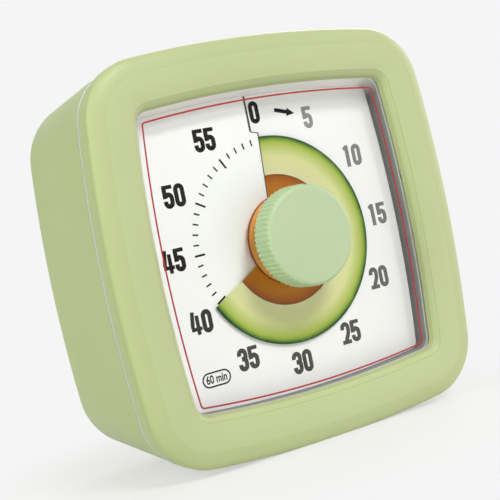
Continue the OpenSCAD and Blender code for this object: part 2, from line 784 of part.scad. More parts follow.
// A contact plate flat against an end wall of the bay, with a tail up to the board's edge
module contact_strip(side) {
    x = side * (bay_half_w - 0.1 - contact_t / 2) - contact_t / 2;
    translate([x, -cell_drop - contact_w / 2, cell_z - contact_w / 2])
        cube([contact_t, contact_w, contact_w]);
    translate([x, -cell_drop, board_z - board_t]) cube([contact_t, board_low + cell_drop + 4, board_t]);
}

module contact_positive() {
    color(steel) upright() contact_strip(1);
}

spring_wire = 0.25;
// A coil spring drawn as a swept tube of eight sides
module spring_coil(r, wire, turns, len) {
    steps = 14;
    n = turns * steps;
    sides = 8;
    points = [for (i = [0:n]) let (a = 360 * i / steps, z = len * i / n)
                for (k = [0:sides - 1]) let (b = 360 * k / sides)
                    [(r + wire * cos(b)) * cos(a), (r + wire * cos(b)) * sin(a), z + wire * sin(b)]];
    skin = [for (i = [0:n - 1]) for (k = [0:sides - 1])
                let (l = (k + 1) % sides, a = i * sides, b = a + sides)
                each [[a + k, a + l, b + k], [b + k, a + l, b + l]]];
    polyhedron(points, concat(skin, [[for (k = [0:sides - 1]) sides - 1 - k]],
                              [[for (k = [0:sides - 1]) n * sides + k]]), convexity = 8);
}

module contact_negative() {
    color(steel) upright() {
        contact_strip(-1);
        translate([-bay_half_w + contact_t + 0.2, -cell_drop, cell_z]) rotate([0, 90, 0])
            spring_coil(3, spring_wire, 2, cell_x + bay_half_w - contact_t - 0.2 - spring_wire);
    }
}

// ---- turning pieces ----
function flute_point(i, n) =
    let (a = 360 * i / n, r = knob_r - flute_depth * (0.5 - 0.5 * cos(a * knob_flutes)))
    [r * cos(a), r * sin(a)];

module knob() {
    n = knob_flutes * 6;
    body_r = knob_r - flute_depth;
    color(knob_green) upright() difference() {
        union() {
            translate([0, 0, knob_z]) linear_extrude(knob_h - knob_edge_r)
                polygon([for (i = [0:n - 1]) flute_point(i, n)]);
            rotate_extrude() polygon(concat(
                [[0, knob_front - knob_edge_r - 1], [body_r - 0.05, knob_front - knob_edge_r - 1]],
                [for (t = [0:15:90]) [body_r - 0.05 - knob_edge_r * (1 - cos(t)),
                                      knob_front - knob_edge_r * (1 - sin(t))]],
                [[0, knob_front]]));
            rod(neck_r, cap_z + cap_t, knob_z + bite);
        }
        rod(shaft_r, cap_z, knob_front - 1.2);
    }
}

module knob_cap() {
    color(core_brown) upright() difference() {
        rotate_extrude() polygon([[0, cap_z], [cap_r - 0.1, cap_z], [cap_r, cap_z + 0.15],
                                  [cap_r - 0.3, cap_z + cap_t * 0.75], [cap_r - 1.2, cap_z + cap_t],
                                  [0, cap_z + cap_t]]);
        rod(shaft_r, cap_z - bite, cap_z + cap_t + bite);
    }
}

module drive_shaft() {
    color(steel) upright() {
        rod(shaft_r, centre_z - 1.5, knob_front - 1.2);
        rod(shaft_r * 0.6, floor_in - 0.5, centre_z - 1);
        rod(shaft_r + 1, centre_z - 1.5, centre_z - 0.9);
    }
}

module centre_wheel() {
    color(gear_white) upright() difference() {
        rotate([0, 0, third_dir]) difference() {
            toothed(centre_r, centre_teeth, centre_z, wheel_t, 0.42);
            lighten(centre_r * 0.68, centre_r * 0.15, centre_z, wheel_t);
        }
        rod(shaft_r + run_gap, centre_z - bite, centre_z + wheel_t + bite);
    }
}

module clutch_spring() {
    color(brass) upright() difference() {
        union() {
            rod(shaft_r + 1.4, centre_z - 0.9, centre_z - 0.5);
            for (i = [0:2]) rotate([0, 0, 120 * i]) {
                translate([0, -0.8, centre_z - 0.9]) cube([4.4, 1.6, 0.4]);
                translate([3.4, -0.8, centre_z - 0.9]) cube([1, 1.6, 0.9 - run_gap]);
            }
        }
        rod(shaft_r, centre_z - 1.5, centre_z + bite);
    }
}

module disc_hub() {
    color(core_brown) upright() difference() {
        rod(disc_hub_r, disc_hub_low, disc_hub_top);
        rod(shaft_r + run_gap, disc_hub_low - bite, disc_hub_top + bite);
    }
}

module countdown_disc() {
    start = rest_angle - 360 + 2 * slit_angle;
    span = 360 - 2 * slit_angle;
    color(disc_green) upright() climbing_sheet([for (i = [0:sheet_steps])
        let (a = start + span * i / sheet_steps, z = dial_rise * a / 360)
        [a, disc_hub_r, disc_r, z - sheet_t / 2, z + sheet_t / 2]]);
}

front_bezel();
window_lens();
dial_surround();
dial_plate();
dial_frame();
trim_ring();
chassis_plate();
chassis_screws();
rear_shell();
case_screws();
battery_door();
movement_cover();
movement_case();
movement_screws();
shaft_bearing();
stator();
coil_bobbin();
coil_winding();
coil_pins();
circuit_board();
board_screws();
control_chip();
quartz_crystal();
buzzer();
switch_body();
aa_cell();
contact_positive();
contact_negative();
knob();
knob_cap();
drive_shaft();
centre_wheel();
clutch_spring();
disc_hub();
countdown_disc();
third_wheel();
second_wheel();
rotor();
volume_slider();
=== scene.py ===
import math

import bpy
from mathutils import Matrix, Vector


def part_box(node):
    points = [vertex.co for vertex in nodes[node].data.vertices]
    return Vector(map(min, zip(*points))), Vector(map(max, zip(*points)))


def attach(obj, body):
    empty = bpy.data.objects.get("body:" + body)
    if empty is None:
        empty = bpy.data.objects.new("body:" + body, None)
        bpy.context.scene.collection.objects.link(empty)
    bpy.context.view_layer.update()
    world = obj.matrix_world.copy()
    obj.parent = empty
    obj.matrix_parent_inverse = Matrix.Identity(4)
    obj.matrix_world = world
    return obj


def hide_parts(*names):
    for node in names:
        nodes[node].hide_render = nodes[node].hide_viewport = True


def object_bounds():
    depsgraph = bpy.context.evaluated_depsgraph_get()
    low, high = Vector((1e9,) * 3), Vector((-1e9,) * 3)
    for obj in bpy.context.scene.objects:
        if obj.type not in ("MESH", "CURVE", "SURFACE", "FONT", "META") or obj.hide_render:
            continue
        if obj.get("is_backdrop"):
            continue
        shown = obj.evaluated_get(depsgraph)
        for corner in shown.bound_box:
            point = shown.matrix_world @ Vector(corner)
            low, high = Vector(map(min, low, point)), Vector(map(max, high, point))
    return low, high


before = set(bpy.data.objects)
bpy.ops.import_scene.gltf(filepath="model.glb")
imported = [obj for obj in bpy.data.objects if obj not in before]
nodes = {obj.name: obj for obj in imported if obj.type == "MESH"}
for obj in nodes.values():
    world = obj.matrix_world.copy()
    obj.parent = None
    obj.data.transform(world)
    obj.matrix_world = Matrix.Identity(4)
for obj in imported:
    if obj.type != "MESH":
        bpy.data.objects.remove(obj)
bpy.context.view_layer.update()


# ---- rear shell ----
# The back half of the case: one deep ABS moulding that narrows towards a rounded back edge.
# Inside it carry screw towers, board posts and the battery bay, all moulded with it. The back
# is pierced for the cell, the sound, the volume switch and four screws.
mm = 0.001
case_half = 39.5
side_bow = 253
corner_round = 12.2
side_width = 39.15
shell_front = -0.3
shell_back = -31
back_half = 36.3
back_bow = 288
back_corner = 12.7
back_edge = 2
wall = 2
floor_inside = -28.6
axis_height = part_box("front_bezel")[1].z - case_half * mm
face_high = 6.1
dial_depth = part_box("front_bezel")[0].y + face_high * mm


def pick(piece):
    """Takes one piece in hand and puts the others down."""
    if bpy.context.object and bpy.context.object.mode != "OBJECT":
        bpy.ops.object.mode_set(mode="OBJECT")
    bpy.ops.object.select_all(action="DESELECT")
    piece.select_set(True)
    bpy.context.view_layer.objects.active = piece


def mark(piece, kind, wanted):
    """Goes into edit mode with the faces, edges or corners marked that wanted(middle, normal) names."""
    pick(piece)
    bpy.ops.object.mode_set(mode="EDIT")
    bpy.ops.mesh.select_mode(type=kind)
    bpy.ops.mesh.select_all(action="DESELECT")
    bpy.ops.object.mode_set(mode="OBJECT")
    mesh = piece.data
    at = piece.matrix_world
    if kind == "FACE":
        for face in mesh.polygons:
            face.select = wanted(at @ face.center, face.normal)
    elif kind == "EDGE":
        for edge in mesh.edges:
            a, b = (at @ mesh.vertices[i].co for i in edge.vertices)
            edge.select = wanted((a + b) / 2, (b - a).normalized())
    else:
        for corner in mesh.vertices:
            corner.select = wanted(at @ corner.co, corner.normal)
    bpy.ops.object.mode_set(mode="EDIT")


def done():
    """Puts the edit mode away and settles the piece's own place into its mesh."""
    if bpy.context.object.mode != "OBJECT":
        bpy.ops.object.mode_set(mode="OBJECT")
    bpy.ops.object.transform_apply(location=True, rotation=True, scale=True)
    return bpy.context.object


def everything(place, normal):
    return True


def facing_back(place, normal):
    return normal.z < -0.9


def facing_front(place, normal):
    return normal.z > 0.9


def standing(place, along):
    """Edges that run along the dial's axis."""
    return abs(along.z) > 0.9


def bevelled(piece, kind, wanted, width, steps):
    """Rounds the edges that wanted names, or those around the faces that it names."""
    mark(piece, kind, wanted)
    bpy.ops.mesh.bevel(offset=width, segments=steps, affect="EDGES")
    return done()


def draw_out(height):
    """Extrudes the marked faces along the dial's axis."""
    bpy.ops.mesh.extrude_region_move(TRANSFORM_OT_translate={"value": (0, 0, height)})


def placed(piece, at, turn=(0, 0, 0), size=(1, 1, 1)):
    """Scales, turns and moves a piece, and settles that into its mesh."""
    piece.scale = size
    piece.rotation_euler = turn
    piece.location = at
    pick(piece)
    return done()


def copied(piece):
    pick(piece)
    bpy.ops.object.duplicate()
    return bpy.context.object


def tidy(piece, near=0.0005):
    """Merges doubled corners and turns every face outwards."""
    mark(piece, "FACE", everything)
    bpy.ops.mesh.remove_doubles(threshold=near)
    bpy.ops.mesh.normals_make_consistent(inside=False)
    return done()


def rod(radius, low, high, x=0, y=0, sides=48):
    """A round bar along the dial's axis."""
    bpy.ops.object.select_all(action="DESELECT")
    bpy.ops.mesh.primitive_cylinder_add(
        vertices=sides, radius=radius, depth=high - low, location=(x, y, (low + high) / 2))
    return done()


def block(x0, x1, y0, y1, z0, z1):
    """A square block between two corners."""
    bpy.ops.object.select_all(action="DESELECT")
    bpy.ops.mesh.primitive_cube_add(
        size=1, location=((x0 + x1) / 2, (y0 + y1) / 2, (z0 + z1) / 2), scale=(x1 - x0, y1 - y0, z1 - z0))
    return done()


def join(pieces):
    """Lays several pieces together as one."""
    pick(pieces[0])
    for other in pieces:
        other.select_set(True)
    bpy.ops.object.join()
    return bpy.context.object


def applied(piece, kind, **settings):
    """Gives a piece a modifier with its settings and applies it."""
    pick(piece)
    step = piece.modifiers.new(kind.lower(), kind)
    for key, value in settings.items():
        setattr(step, key, value)
    bpy.ops.object.modifier_apply(modifier=step.name)
    return piece


def combine(piece, tool, way="DIFFERENCE"):
    """Cuts a tool out of a piece, or fuses the two, or keeps what they share."""
    applied(piece, "BOOLEAN", object=tool, operation=way, solver="EXACT")
    bpy.data.objects.remove(tool)


def soften(piece, width, steps, above):
    """Rounds every edge that is sharper than an angle."""
    applied(piece, "BEVEL", width=width, segments=steps, limit_method="ANGLE",
            angle_limit=math.radians(above), use_clamp_overlap=True)


def case_line(half, bow, corner, fine=16):
    """The outline of the case: four bowed sides and four round corners in one closed curve."""
    gap = bow - half
    middle = (-2 * gap + math.sqrt(4 * gap**2 - 8 * (gap**2 - (bow - corner)**2))) / 4
    lean = math.atan2(middle, middle + gap)
    side_pull = 4 / 3 * math.tan(lean / 2) * bow
    corner_pull = 4 / 3 * math.tan((math.pi / 2 - 2 * lean) / 4) * corner
    bpy.ops.object.select_all(action="DESELECT")
    bpy.ops.curve.primitive_bezier_circle_add(radius=half)
    bpy.ops.object.mode_set(mode="EDIT")
    bpy.ops.curve.select_all(action="SELECT")
    bpy.ops.curve.subdivide()
    bpy.ops.object.mode_set(mode="OBJECT")
    line = bpy.context.object
    line.data.dimensions = "2D"
    line.data.fill_mode = "NONE"
    line.data.resolution_u = fine
    for k, knot in enumerate(line.data.splines[0].bezier_points):
        side = math.pi - (k // 2) * math.pi / 2
        end = 1 if k % 2 == 0 else -1
        turn = side + end * lean
        quarter = side + end * math.pi / 4
        centre = Vector((math.cos(quarter), math.sin(quarter), 0)) * middle * math.sqrt(2)
        place = centre + Vector((math.cos(turn), math.sin(turn), 0)) * corner
        along = Vector((math.sin(turn), -math.cos(turn), 0))
        knot.handle_left_type = knot.handle_right_type = "FREE"
        knot.co = place
        knot.handle_left = place - along * (corner_pull if end == 1 else side_pull)
        knot.handle_right = place + along * (side_pull if end == 1 else corner_pull)
    return line


def moved_line(half):
    """The widest outline, moved in or out to another half width."""
    return case_line(half, side_bow + half - case_half, corner_round + half - case_half)


def as_mesh(shape):
    """Turns a curve or lettering into a mesh."""
    pick(shape)
    bpy.ops.object.convert(target="MESH")
    return bpy.context.object


def loft(levels):
    """A closed solid through outlines, each with its height, from the first to the last."""
    rims = []
    for line, height in levels:
        rim = as_mesh(line)
        rim.location.z = height
        pick(rim)
        rims.append(done())
    solid = join(rims)
    steps = sorted({round(height, 4) for line, height in levels})
    for low, high in zip(steps, steps[1:]):
        mark(solid, "EDGE", lambda place, along, a=low, b=high: abs(along.z) < 0.01 and (
            abs(place.z - a) < 0.001 or abs(place.z - b) < 0.001))
        bpy.ops.mesh.bridge_edge_loops()
    for end in (steps[0], steps[-1]):
        mark(solid, "EDGE", lambda place, along, a=end: abs(along.z) < 0.01 and abs(place.z - a) < 0.001)
        bpy.ops.mesh.edge_face_add()
    return tidy(solid)


def shell_level(height, inset):
    """The rear shell's outline at a height, moved in by a wall."""
    share = (shell_front - height) / (shell_front - shell_back)
    return (case_line(side_width + (back_half - side_width) * share - inset,
                      side_bow + (back_bow - side_bow) * share - inset,
                      corner_round + (back_corner - corner_round) * share - inset), height)


def upright(piece):
    """Turns a piece upright: it is drawn lying on its back, in millimetres about the dial's axis."""
    return placed(piece, (0, dial_depth, axis_height), (math.pi / 2, 0, 0), (mm, mm, mm))


def stand_up(piece, name, body, slot, *replaced, smooth=32):
    """Stands a piece up in the case, names it and joins it to what moves it."""
    upright(piece)
    piece.name = piece.data.name = name
    bpy.ops.object.shade_smooth_by_angle(angle=math.radians(smooth))
    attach(piece, body)
    if replaced:
        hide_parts(*replaced)
    return piece


def linear(code):
    """A colour written as sRGB hex, turned to the linear colour that a shader takes."""
    parts = [int(code[i:i + 2], 16) / 255 for i in (1, 3, 5)]
    return tuple(c / 12.92 if c <= 0.04045 else ((c + 0.055) / 1.055)**2.4 for c in parts) + (1,)


def add(material, kind, values=None, links=None, stops=None, **settings):
    """Adds one node with its settings, its sockets' values, its links and a ramp's stops. A link
    that names a node comes from the first output that the node shows."""
    node = material.node_tree.nodes.new(kind)
    for key, value in settings.items():
        setattr(node, key, value)
    for key, value in (values or {}).items():
        node.inputs[key].default_value = value
    for key, source in (links or {}).items():
        if isinstance(source, bpy.types.Node):
            source = next(socket for socket in source.outputs if socket.enabled)
        material.node_tree.links.new(source, node.inputs[key])
    for k, (place, colour) in enumerate(stops or []):
        band = node.color_ramp.elements
        stop = band[k] if k < len(band) else band.new(place)
        stop.position = place
        stop.color = linear(colour)
    return node


def new_material(name):
    material = bpy.data.materials.new(name)
    material.use_nodes = True
    material.node_tree.nodes.clear()
    return material


def about_axis(material, depth=1):
    """A point's own place, and the same place measured from the dial's axis, with its depth scaled."""
    place = add(material, "ShaderNodeTexCoord").outputs["Object"]
    return place, add(material, "ShaderNodeMapping", {"Location": (0, 0, -axis_height), "Scale": (1, depth, 1)},
                      {"Vector": place})


def grained(material, place, grain, depth, strength=0.4):
    """A fine grain in millimetres, and the shallow relief that it makes."""
    spark = add(material, "ShaderNodeTexNoise", {"Scale": 1 / (grain * mm), "Detail": 2.0}, {"Vector": place})
    return spark, add(material, "ShaderNodeBump", {"Strength": strength, "Distance": depth * mm}, {"Height": spark})


def moulded(name, colour, shade, rough=0.42, grain=0.35, depth=0.012, gloss=0.5, skin=0.0):
    """Injection-moulded plastic: an even colour with a faint flow mark to a second shade, and the
    fine texture of the mould, with its grain in millimetres."""
    m = new_material(name)
    place = add(m, "ShaderNodeTexCoord").outputs["Object"]
    flow = add(m, "ShaderNodeTexNoise", {"Scale": 1 / (26 * mm), "Detail": 2.0, "Roughness": 0.45},
               {"Vector": place})
    tone = add(m, "ShaderNodeValToRGB", links={"Fac": flow}, stops=[(0.3, shade), (0.7, colour)])
    spark, relief = grained(m, place, grain, depth, 0.5)
    satin = add(m, "ShaderNodeMapRange",
                {"From Min": 0.25, "From Max": 0.75, "To Min": rough - 0.05, "To Max": rough + 0.06},
                {"Value": spark})
    skin_shader = add(m, "ShaderNodeBsdfPrincipled",
                      {"IOR": 1.53, "Specular IOR Level": gloss, "Coat Weight": skin, "Coat Roughness": 0.3},
                      {"Base Color": tone, "Roughness": satin, "Normal": relief})
    add(m, "ShaderNodeOutputMaterial", links={"Surface": skin_shader})
    return m


def wear(piece, *materials):
    """Gives a piece its materials in place of any it had."""
    piece.data.materials.clear()
    for material in materials:
        piece.data.materials.append(material)
    return piece


# ABS with a matt moulded skin: pale avocado green with a soft, even sheen
green_abs = moulded("abs_moulded_pale_green", "#b6c08c", "#b2bc88", gloss=0.3)
# The same ABS, painted a little lighter along the crease between two faces as a painted highlight
painted_highlight_crease = moulded("abs_moulded_pale_green_crease_painted_highlight", "#c3cc99", "#bfc895", rough=0.36, gloss=0.35)

back_steps = 7
rounding = [(shell_back + back_edge * (1 - math.sin(t)), back_edge * (1 - math.cos(t)))
            for t in [math.pi / 2 * k / back_steps for k in range(back_steps, -1, -1)]]
shell = loft([shell_level(z, inset) for z, inset in rounding] + [shell_level(shell_front, 0)])
hollow = loft([shell_level(floor_inside, wall), shell_level(shell_front + 0.5, wall)])
combine(shell, hollow)

screw_places = [(x * 26.5, 27.5) for x in (-1, 1)] + [(x * 30.5, -7.2) for x in (-1, 1)]
board_posts = [(x * 22.95, y) for x in (-1, 1) for y in (-8.7, 15.3)]
bay = (-26.9, 26.9, -29.5, -13.7)
bay_front = -12.9
bay_wall = 1.2
buzzer_height = 20
root = floor_inside - 0.4
tower_top = -10.2
post_top = -24.2
towers = [rod(3.2, root, tower_top, x, y) for x, y in screw_places]
posts = [rod(2, root, post_top, x, y, 32) for x, y in board_posts]
bay_box = block(bay[0] - bay_wall, bay[1] + bay_wall, bay[2] - bay_wall, bay[3] + bay_wall,
                root, bay_front + bay_wall)
cup = rod(11.2, root, floor_inside + 1.6, 0, buzzer_height, 72)
combine(cup, rod(10.15, floor_inside, floor_inside + 2, 0, buzzer_height, 72))
for x in (-17, 17):
    foot = bevelled(rod(4, 0, 4.2, sides=64), "FACE", facing_back, 0.5, 4)
    combine(shell, placed(foot, (x, -axis_height / mm, -25), (-math.pi / 2, 0, 0)), "UNION")
for part in [*towers, *posts, bay_box, cup]:
    combine(shell, part, "UNION")


def flared_hole(radius, inside, mouth, x, y, flare=0.25, sides=32):
    """A round cutter that opens from inside out through the back, with an eased mouth."""
    cutter = rod(radius, mouth + flare, inside, x, y, sides)
    mark(cutter, "FACE", facing_back)
    draw_out(-flare)
    bpy.ops.transform.resize(value=(1 + flare / radius, 1 + flare / radius, 1))
    draw_out(-0.5)
    return done()


def flared_slot(x0, x1, y0, y1, inside, mouth, round_by=0.6, flare=0.2):
    """A square cutter with round corners and an eased mouth."""
    cutter = bevelled(block(x0, x1, y0, y1, mouth + flare, inside), "EDGE", standing, round_by, 5)
    mark(cutter, "FACE", facing_back)
    draw_out(-flare)
    bpy.ops.transform.resize(value=(1 + 2 * flare / (x1 - x0), 1 + 2 * flare / (y1 - y0), 1))
    draw_out(-0.5)
    return done()


door_low = -30.6
door_high = -12.6
door_half = 28.5
hinge_at = 20.5
across_the_case = (0, math.pi / 2, 0)
head_seat = -12.2
pad_x = 17
pad_y = 4
combine(shell, block(*bay, floor_inside - 0.3, bay_front))
combine(shell, block(-door_half + 1, door_half - 1, door_low + 1, door_high - 1,
                     shell_back - 1, floor_inside + 0.2))
combine(shell, flared_slot(-door_half - 0.25, door_half + 0.25, door_low - 0.25, door_high + 0.25,
                           shell_back + 1.3, shell_back, 0.9, 0.18))
for x in (-1, 1):
    combine(shell, placed(rod(1.75, -3.25, 3.25, sides=40), (x * hinge_at, door_low, shell_back), across_the_case))
    combine(shell, block(x * 26.4 - 0.7, x * 26.4 + 0.7, bay[3] - 0.5, bay[3] + bay_wall + 0.5, -26.2, -23.2))
combine(shell, flared_hole(5, shell_back + 0.8, shell_back, 0, door_high, 0.5, 64))
for x, y in screw_places:
    combine(shell, flared_hole(2.35, head_seat, shell_back, x, y, 0.35, 48))
    combine(shell, rod(1.25, head_seat - 0.5, tower_top + 0.5, x, y, 32))
for x, y in board_posts:
    combine(shell, rod(0.8, floor_inside + 0.8, post_top + 0.5, x, y, 24))
sound_apart = 2.6
sound_places = [(0, 0)] + [(sound_apart * ring, math.radians(60 * k / ring))
                           for ring in (1, 2) for k in range(6 * ring)]
combine(shell, join([
    flared_hole(0.7, floor_inside + 0.5, shell_back, reach * math.cos(turn), buzzer_height + reach * math.sin(turn),
                0.15, 20) for reach, turn in sound_places]))
combine(shell, flared_slot(pad_x - 4.7, pad_x + 4.7, pad_y - 2.3, pad_y + 2.3, shell_back + 0.9, shell_back, 1.1))
combine(shell, block(pad_x - 3.5, pad_x + 3.5, pad_y - 1.1, pad_y + 1.1, shell_back, floor_inside + 0.5))
wear(shell, green_abs)
stand_up(shell, "rear_shell_moulding", "case", "case_plastic", "rear_shell")


# ---- volume switch ----
# A small slide switch on the board: a steel can around a black nylon carriage, whose
# ridged finger pad reaches out through the slot in the back.
pad_half = 0.9
slider = block(pad_x - 1.2, pad_x + 1.2, pad_y - pad_half, pad_y + pad_half, shell_back + 0.4, shell_back + 4.4)
for k in range(3):
    ridge_x = pad_x - 0.95 + 0.75 * k
    combine(slider, block(ridge_x, ridge_x + 0.4, pad_y - pad_half, pad_y + pad_half, shell_back + 0.1,
                          shell_back + 0.6), "UNION")
soften(slider, 0.08, 2, 35)
# Nylon, moulded: black with a dull sheen
black_nylon = moulded("nylon_moulded_black", "#2d2d30", "#26262a", rough=0.5, grain=0.25)
wear(slider, black_nylon)
stand_up(slider, "volume_slider_pad", "slider", "black_plastic", "volume_slider")


# ---- battery contacts and cell ----
# Two nickel-plated spring-steel strips stand against the ends of the bay, one with a coil
# spring. The AA cell lies between them: a steel can in a printed sleeve, with a button end.
def metal(name, colour, shade, rough=0.3, streak=0.4, along=(1, 1, 1), depth=0.004):
    """A metal surface: its tone and gloss vary along fine marks, whose spacing is in millimetres
    and whose stretch along each axis follows how it was rolled, turned or pressed."""
    m = new_material(name)
    place = add(m, "ShaderNodeTexCoord").outputs["Object"]
    drawn = add(m, "ShaderNodeMapping", {"Scale": along}, {"Vector": place})
    marks = add(m, "ShaderNodeTexNoise", {"Scale": 1 / (streak * mm), "Detail": 3.0}, {"Vector": drawn})
    tone = add(m, "ShaderNodeValToRGB", links={"Fac": marks}, stops=[(0.3, shade), (0.7, colour)])
    gloss = add(m, "ShaderNodeMapRange",
                {"From Min": 0.25, "From Max": 0.75, "To Min": rough - 0.06, "To Max": rough + 0.08},
                {"Value": marks})
    relief = add(m, "ShaderNodeBump", {"Strength": 0.4, "Distance": depth * mm}, {"Height": marks})
    surface = add(m, "ShaderNodeBsdfPrincipled", {"Metallic": 1.0},
                  {"Base Color": tone, "Roughness": gloss, "Normal": relief})
    add(m, "ShaderNodeOutputMaterial", links={"Surface": surface})
    return m


# Nickel plate on rolled strip: bright and slightly warm, with faint rolling marks
nickel_strip = metal("nickel_plated_spring_steel", "#cfcdc6", "#bdbab2", 0.26, 0.5, (1, 1, 0.1))
wear(nodes["contact_positive"], nickel_strip)
wear(nodes["contact_negative"], nickel_strip)

cell_radius = 7.1
cell_start = -24.15
cell_end = 26.25
cell_at = (-21.6, -20.6)
cell = bevelled(rod(cell_radius, cell_start, cell_end - 1.2, sides=96), "EDGE",
                lambda place, along: abs(along.z) < 0.1 and place.to_2d().length > cell_radius - 0.1, 0.45, 4)
mark(cell, "FACE", lambda place, normal: normal.z > 0.9 and place.to_2d().length < 1)
bpy.ops.mesh.inset(thickness=0.5)
draw_out(-0.3)
bpy.ops.mesh.inset(thickness=3.3)
draw_out(1.5)
bpy.ops.mesh.bevel(offset=0.35, segments=3, affect="EDGES")
cell = done()
mark(cell, "FACE", lambda place, normal: normal.z < -0.9 and place.to_2d().length < 1)
bpy.ops.mesh.inset(thickness=0.7)
draw_out(0.25)
cell = placed(done(), (0, *cell_at), across_the_case)
# Printed PVC sleeve shrunk over a steel can: glossy slate blue with a copper-coloured band near
# the button end, and bare plated steel at both ends
sleeve = new_material("pvc_sleeve_printed_on_steel_can")
place = add(sleeve, "ShaderNodeTexCoord").outputs["Object"]
along_cell = add(sleeve, "ShaderNodeSeparateXYZ", links={"Vector": place}).outputs["X"]
share = add(sleeve, "ShaderNodeMapRange", {"From Min": cell_start * mm, "From Max": cell_end * mm},
            {"Value": along_cell})
bands = add(sleeve, "ShaderNodeValToRGB", links={"Fac": share}, stops=[
    (0.0, "#b9b9b4"), (0.012, "#3f5a73"), (0.70, "#b8793f"), (0.955, "#c9c8c2")])
bands.color_ramp.interpolation = "CONSTANT"
bare = add(sleeve, "ShaderNodeValToRGB", links={"Fac": share}, stops=[
    (0.0, "#ffffff"), (0.012, "#000000"), (0.955, "#ffffff")])
bare.color_ramp.interpolation = "CONSTANT"
dust = add(sleeve, "ShaderNodeTexNoise", {"Scale": 1 / (4 * mm), "Detail": 3.0}, {"Vector": place})
glossy = add(sleeve, "ShaderNodeMapRange", {"To Min": 0.2, "To Max": 0.38}, {"Value": dust})
cell_shader = add(sleeve, "ShaderNodeBsdfPrincipled", {"IOR": 1.53},
                  {"Base Color": bands, "Metallic": bare, "Roughness": glossy})
add(sleeve, "ShaderNodeOutputMaterial", links={"Surface": cell_shader})
wear(cell, sleeve)
stand_up(cell, "aa_cell_sleeved", "case", "cell_wrap", "aa_cell")


# ---- circuit board ----
# A glass-epoxy board on four posts, with a solder mask over its copper, a moulded chip, a
# watch crystal in a drawn can, the switch's steel can, and four small screws. A brass disc
# with a ceramic on it makes the sound against the grille.
# Green solder mask over copper: glossy, with the tracks a lighter green in slight relief
board_finish = new_material("glass_epoxy_board_green_mask")
place = add(board_finish, "ShaderNodeTexCoord").outputs["Object"]
# The tracks under the mask: a maze of straight runs 0.8 mm apart
tracks = add(board_finish, "ShaderNodeTexBrick",
             {"Color1": linear("#2c6b3d"), "Color2": linear("#2f7243"), "Mortar": linear("#4a9159"),
              "Scale": 1 / (8 * mm), "Mortar Size": 0.03, "Brick Width": 0.7, "Row Height": 0.2},
             {"Vector": add(board_finish, "ShaderNodeMapping", {"Rotation": (math.pi / 2, 0, 0)},
                            {"Vector": place})})
mask_relief = add(board_finish, "ShaderNodeBump", {"Strength": 0.3, "Distance": 0.03 * mm},
                  {"Height": tracks.outputs["Fac"]})
board_shader = add(board_finish, "ShaderNodeBsdfPrincipled", {"Roughness": 0.28, "IOR": 1.55},
                   {"Base Color": tracks, "Normal": mask_relief})
add(board_finish, "ShaderNodeOutputMaterial", links={"Surface": board_shader})
wear(nodes["circuit_board"], board_finish)
# Epoxy moulding compound: almost black, matt from the mould
wear(nodes["control_chip"], moulded("epoxy_moulded_chip_black", "#232326", "#1c1c1f", rough=0.6, grain=0.15))
# Drawn nickel-silver can: bright, with marks along its length
wear(nodes["quartz_crystal"], metal("nickel_silver_drawn_can", "#d3d3d3", "#bcbdc0", 0.22, 0.3, (1, 1, 0.08)))
# Tinned steel sheet, pressed: soft bright grey
wear(nodes["switch_body"], metal("tinned_steel_pressed", "#c3c5c8", "#aeb1b5", 0.32, 0.6))
# Rolled brass of the sounder disc: yellow, dull where it was handled
rolled_brass = metal("brass_rolled_sheet", "#d2ad62", "#b9914a", 0.3, 0.8, (0.15, 1, 1))
wear(nodes["buzzer"], rolled_brass)
# Zinc plate on cold-headed steel: cool bright grey
zinc_screw = metal("zinc_plated_steel_screw", "#c6cacf", "#a8adb4", 0.3, 0.25)
wear(nodes["board_screws"], zinc_screw)


# ---- quartz movement ----
# The clockwork: a two-part box of natural plastic with its wheels, the coil on its bobbin, the
# stator and the magnet rotor inside, a brass bearing in front and four screws.
# Natural ABS: ivory, a little waxy
ivory_abs = moulded("abs_moulded_ivory", "#e7e2d4", "#ded8c8", rough=0.4, grain=0.3)
for name in ("movement_case", "movement_cover"):
    wear(nodes[name], ivory_abs)
# Acetal, moulded: milk white and slightly greasy in its gloss
white_acetal = moulded("acetal_moulded_white", "#efeee8", "#e4e2d8", rough=0.3, grain=0.2, skin=0.2)
for name in ("centre_wheel", "third_wheel", "second_wheel"):
    wear(nodes[name], white_acetal)
wear(nodes["movement_screws"], zinc_screw)
# Turned brass: bright rings from the tool
turned_brass = metal("brass_turned", "#d8b76c", "#bd974f", 0.22, 0.3, (1, 0.15, 1))
for name in ("shaft_bearing", "coil_pins"):
    wear(nodes[name], turned_brass)
# Phosphor bronze strip, stamped: warmer than brass
wear(nodes["clutch_spring"], metal("phosphor_bronze_strip", "#c98f5c", "#ad7646", 0.28, 0.4, (1, 1, 0.1)))
# Annealed silicon steel of the stator: dark blue-grey, matt
wear(nodes["stator"], metal("silicon_steel_annealed", "#8f959d", "#757b84", 0.42, 0.5))
wear(nodes["coil_bobbin"], black_nylon)
# Bonded ferrite magnet on a steel arbor: charcoal with a dull metallic grain
wear(nodes["rotor"], metal("ferrite_bonded_magnet", "#55565b", "#3e3f44", 0.48, 0.15))

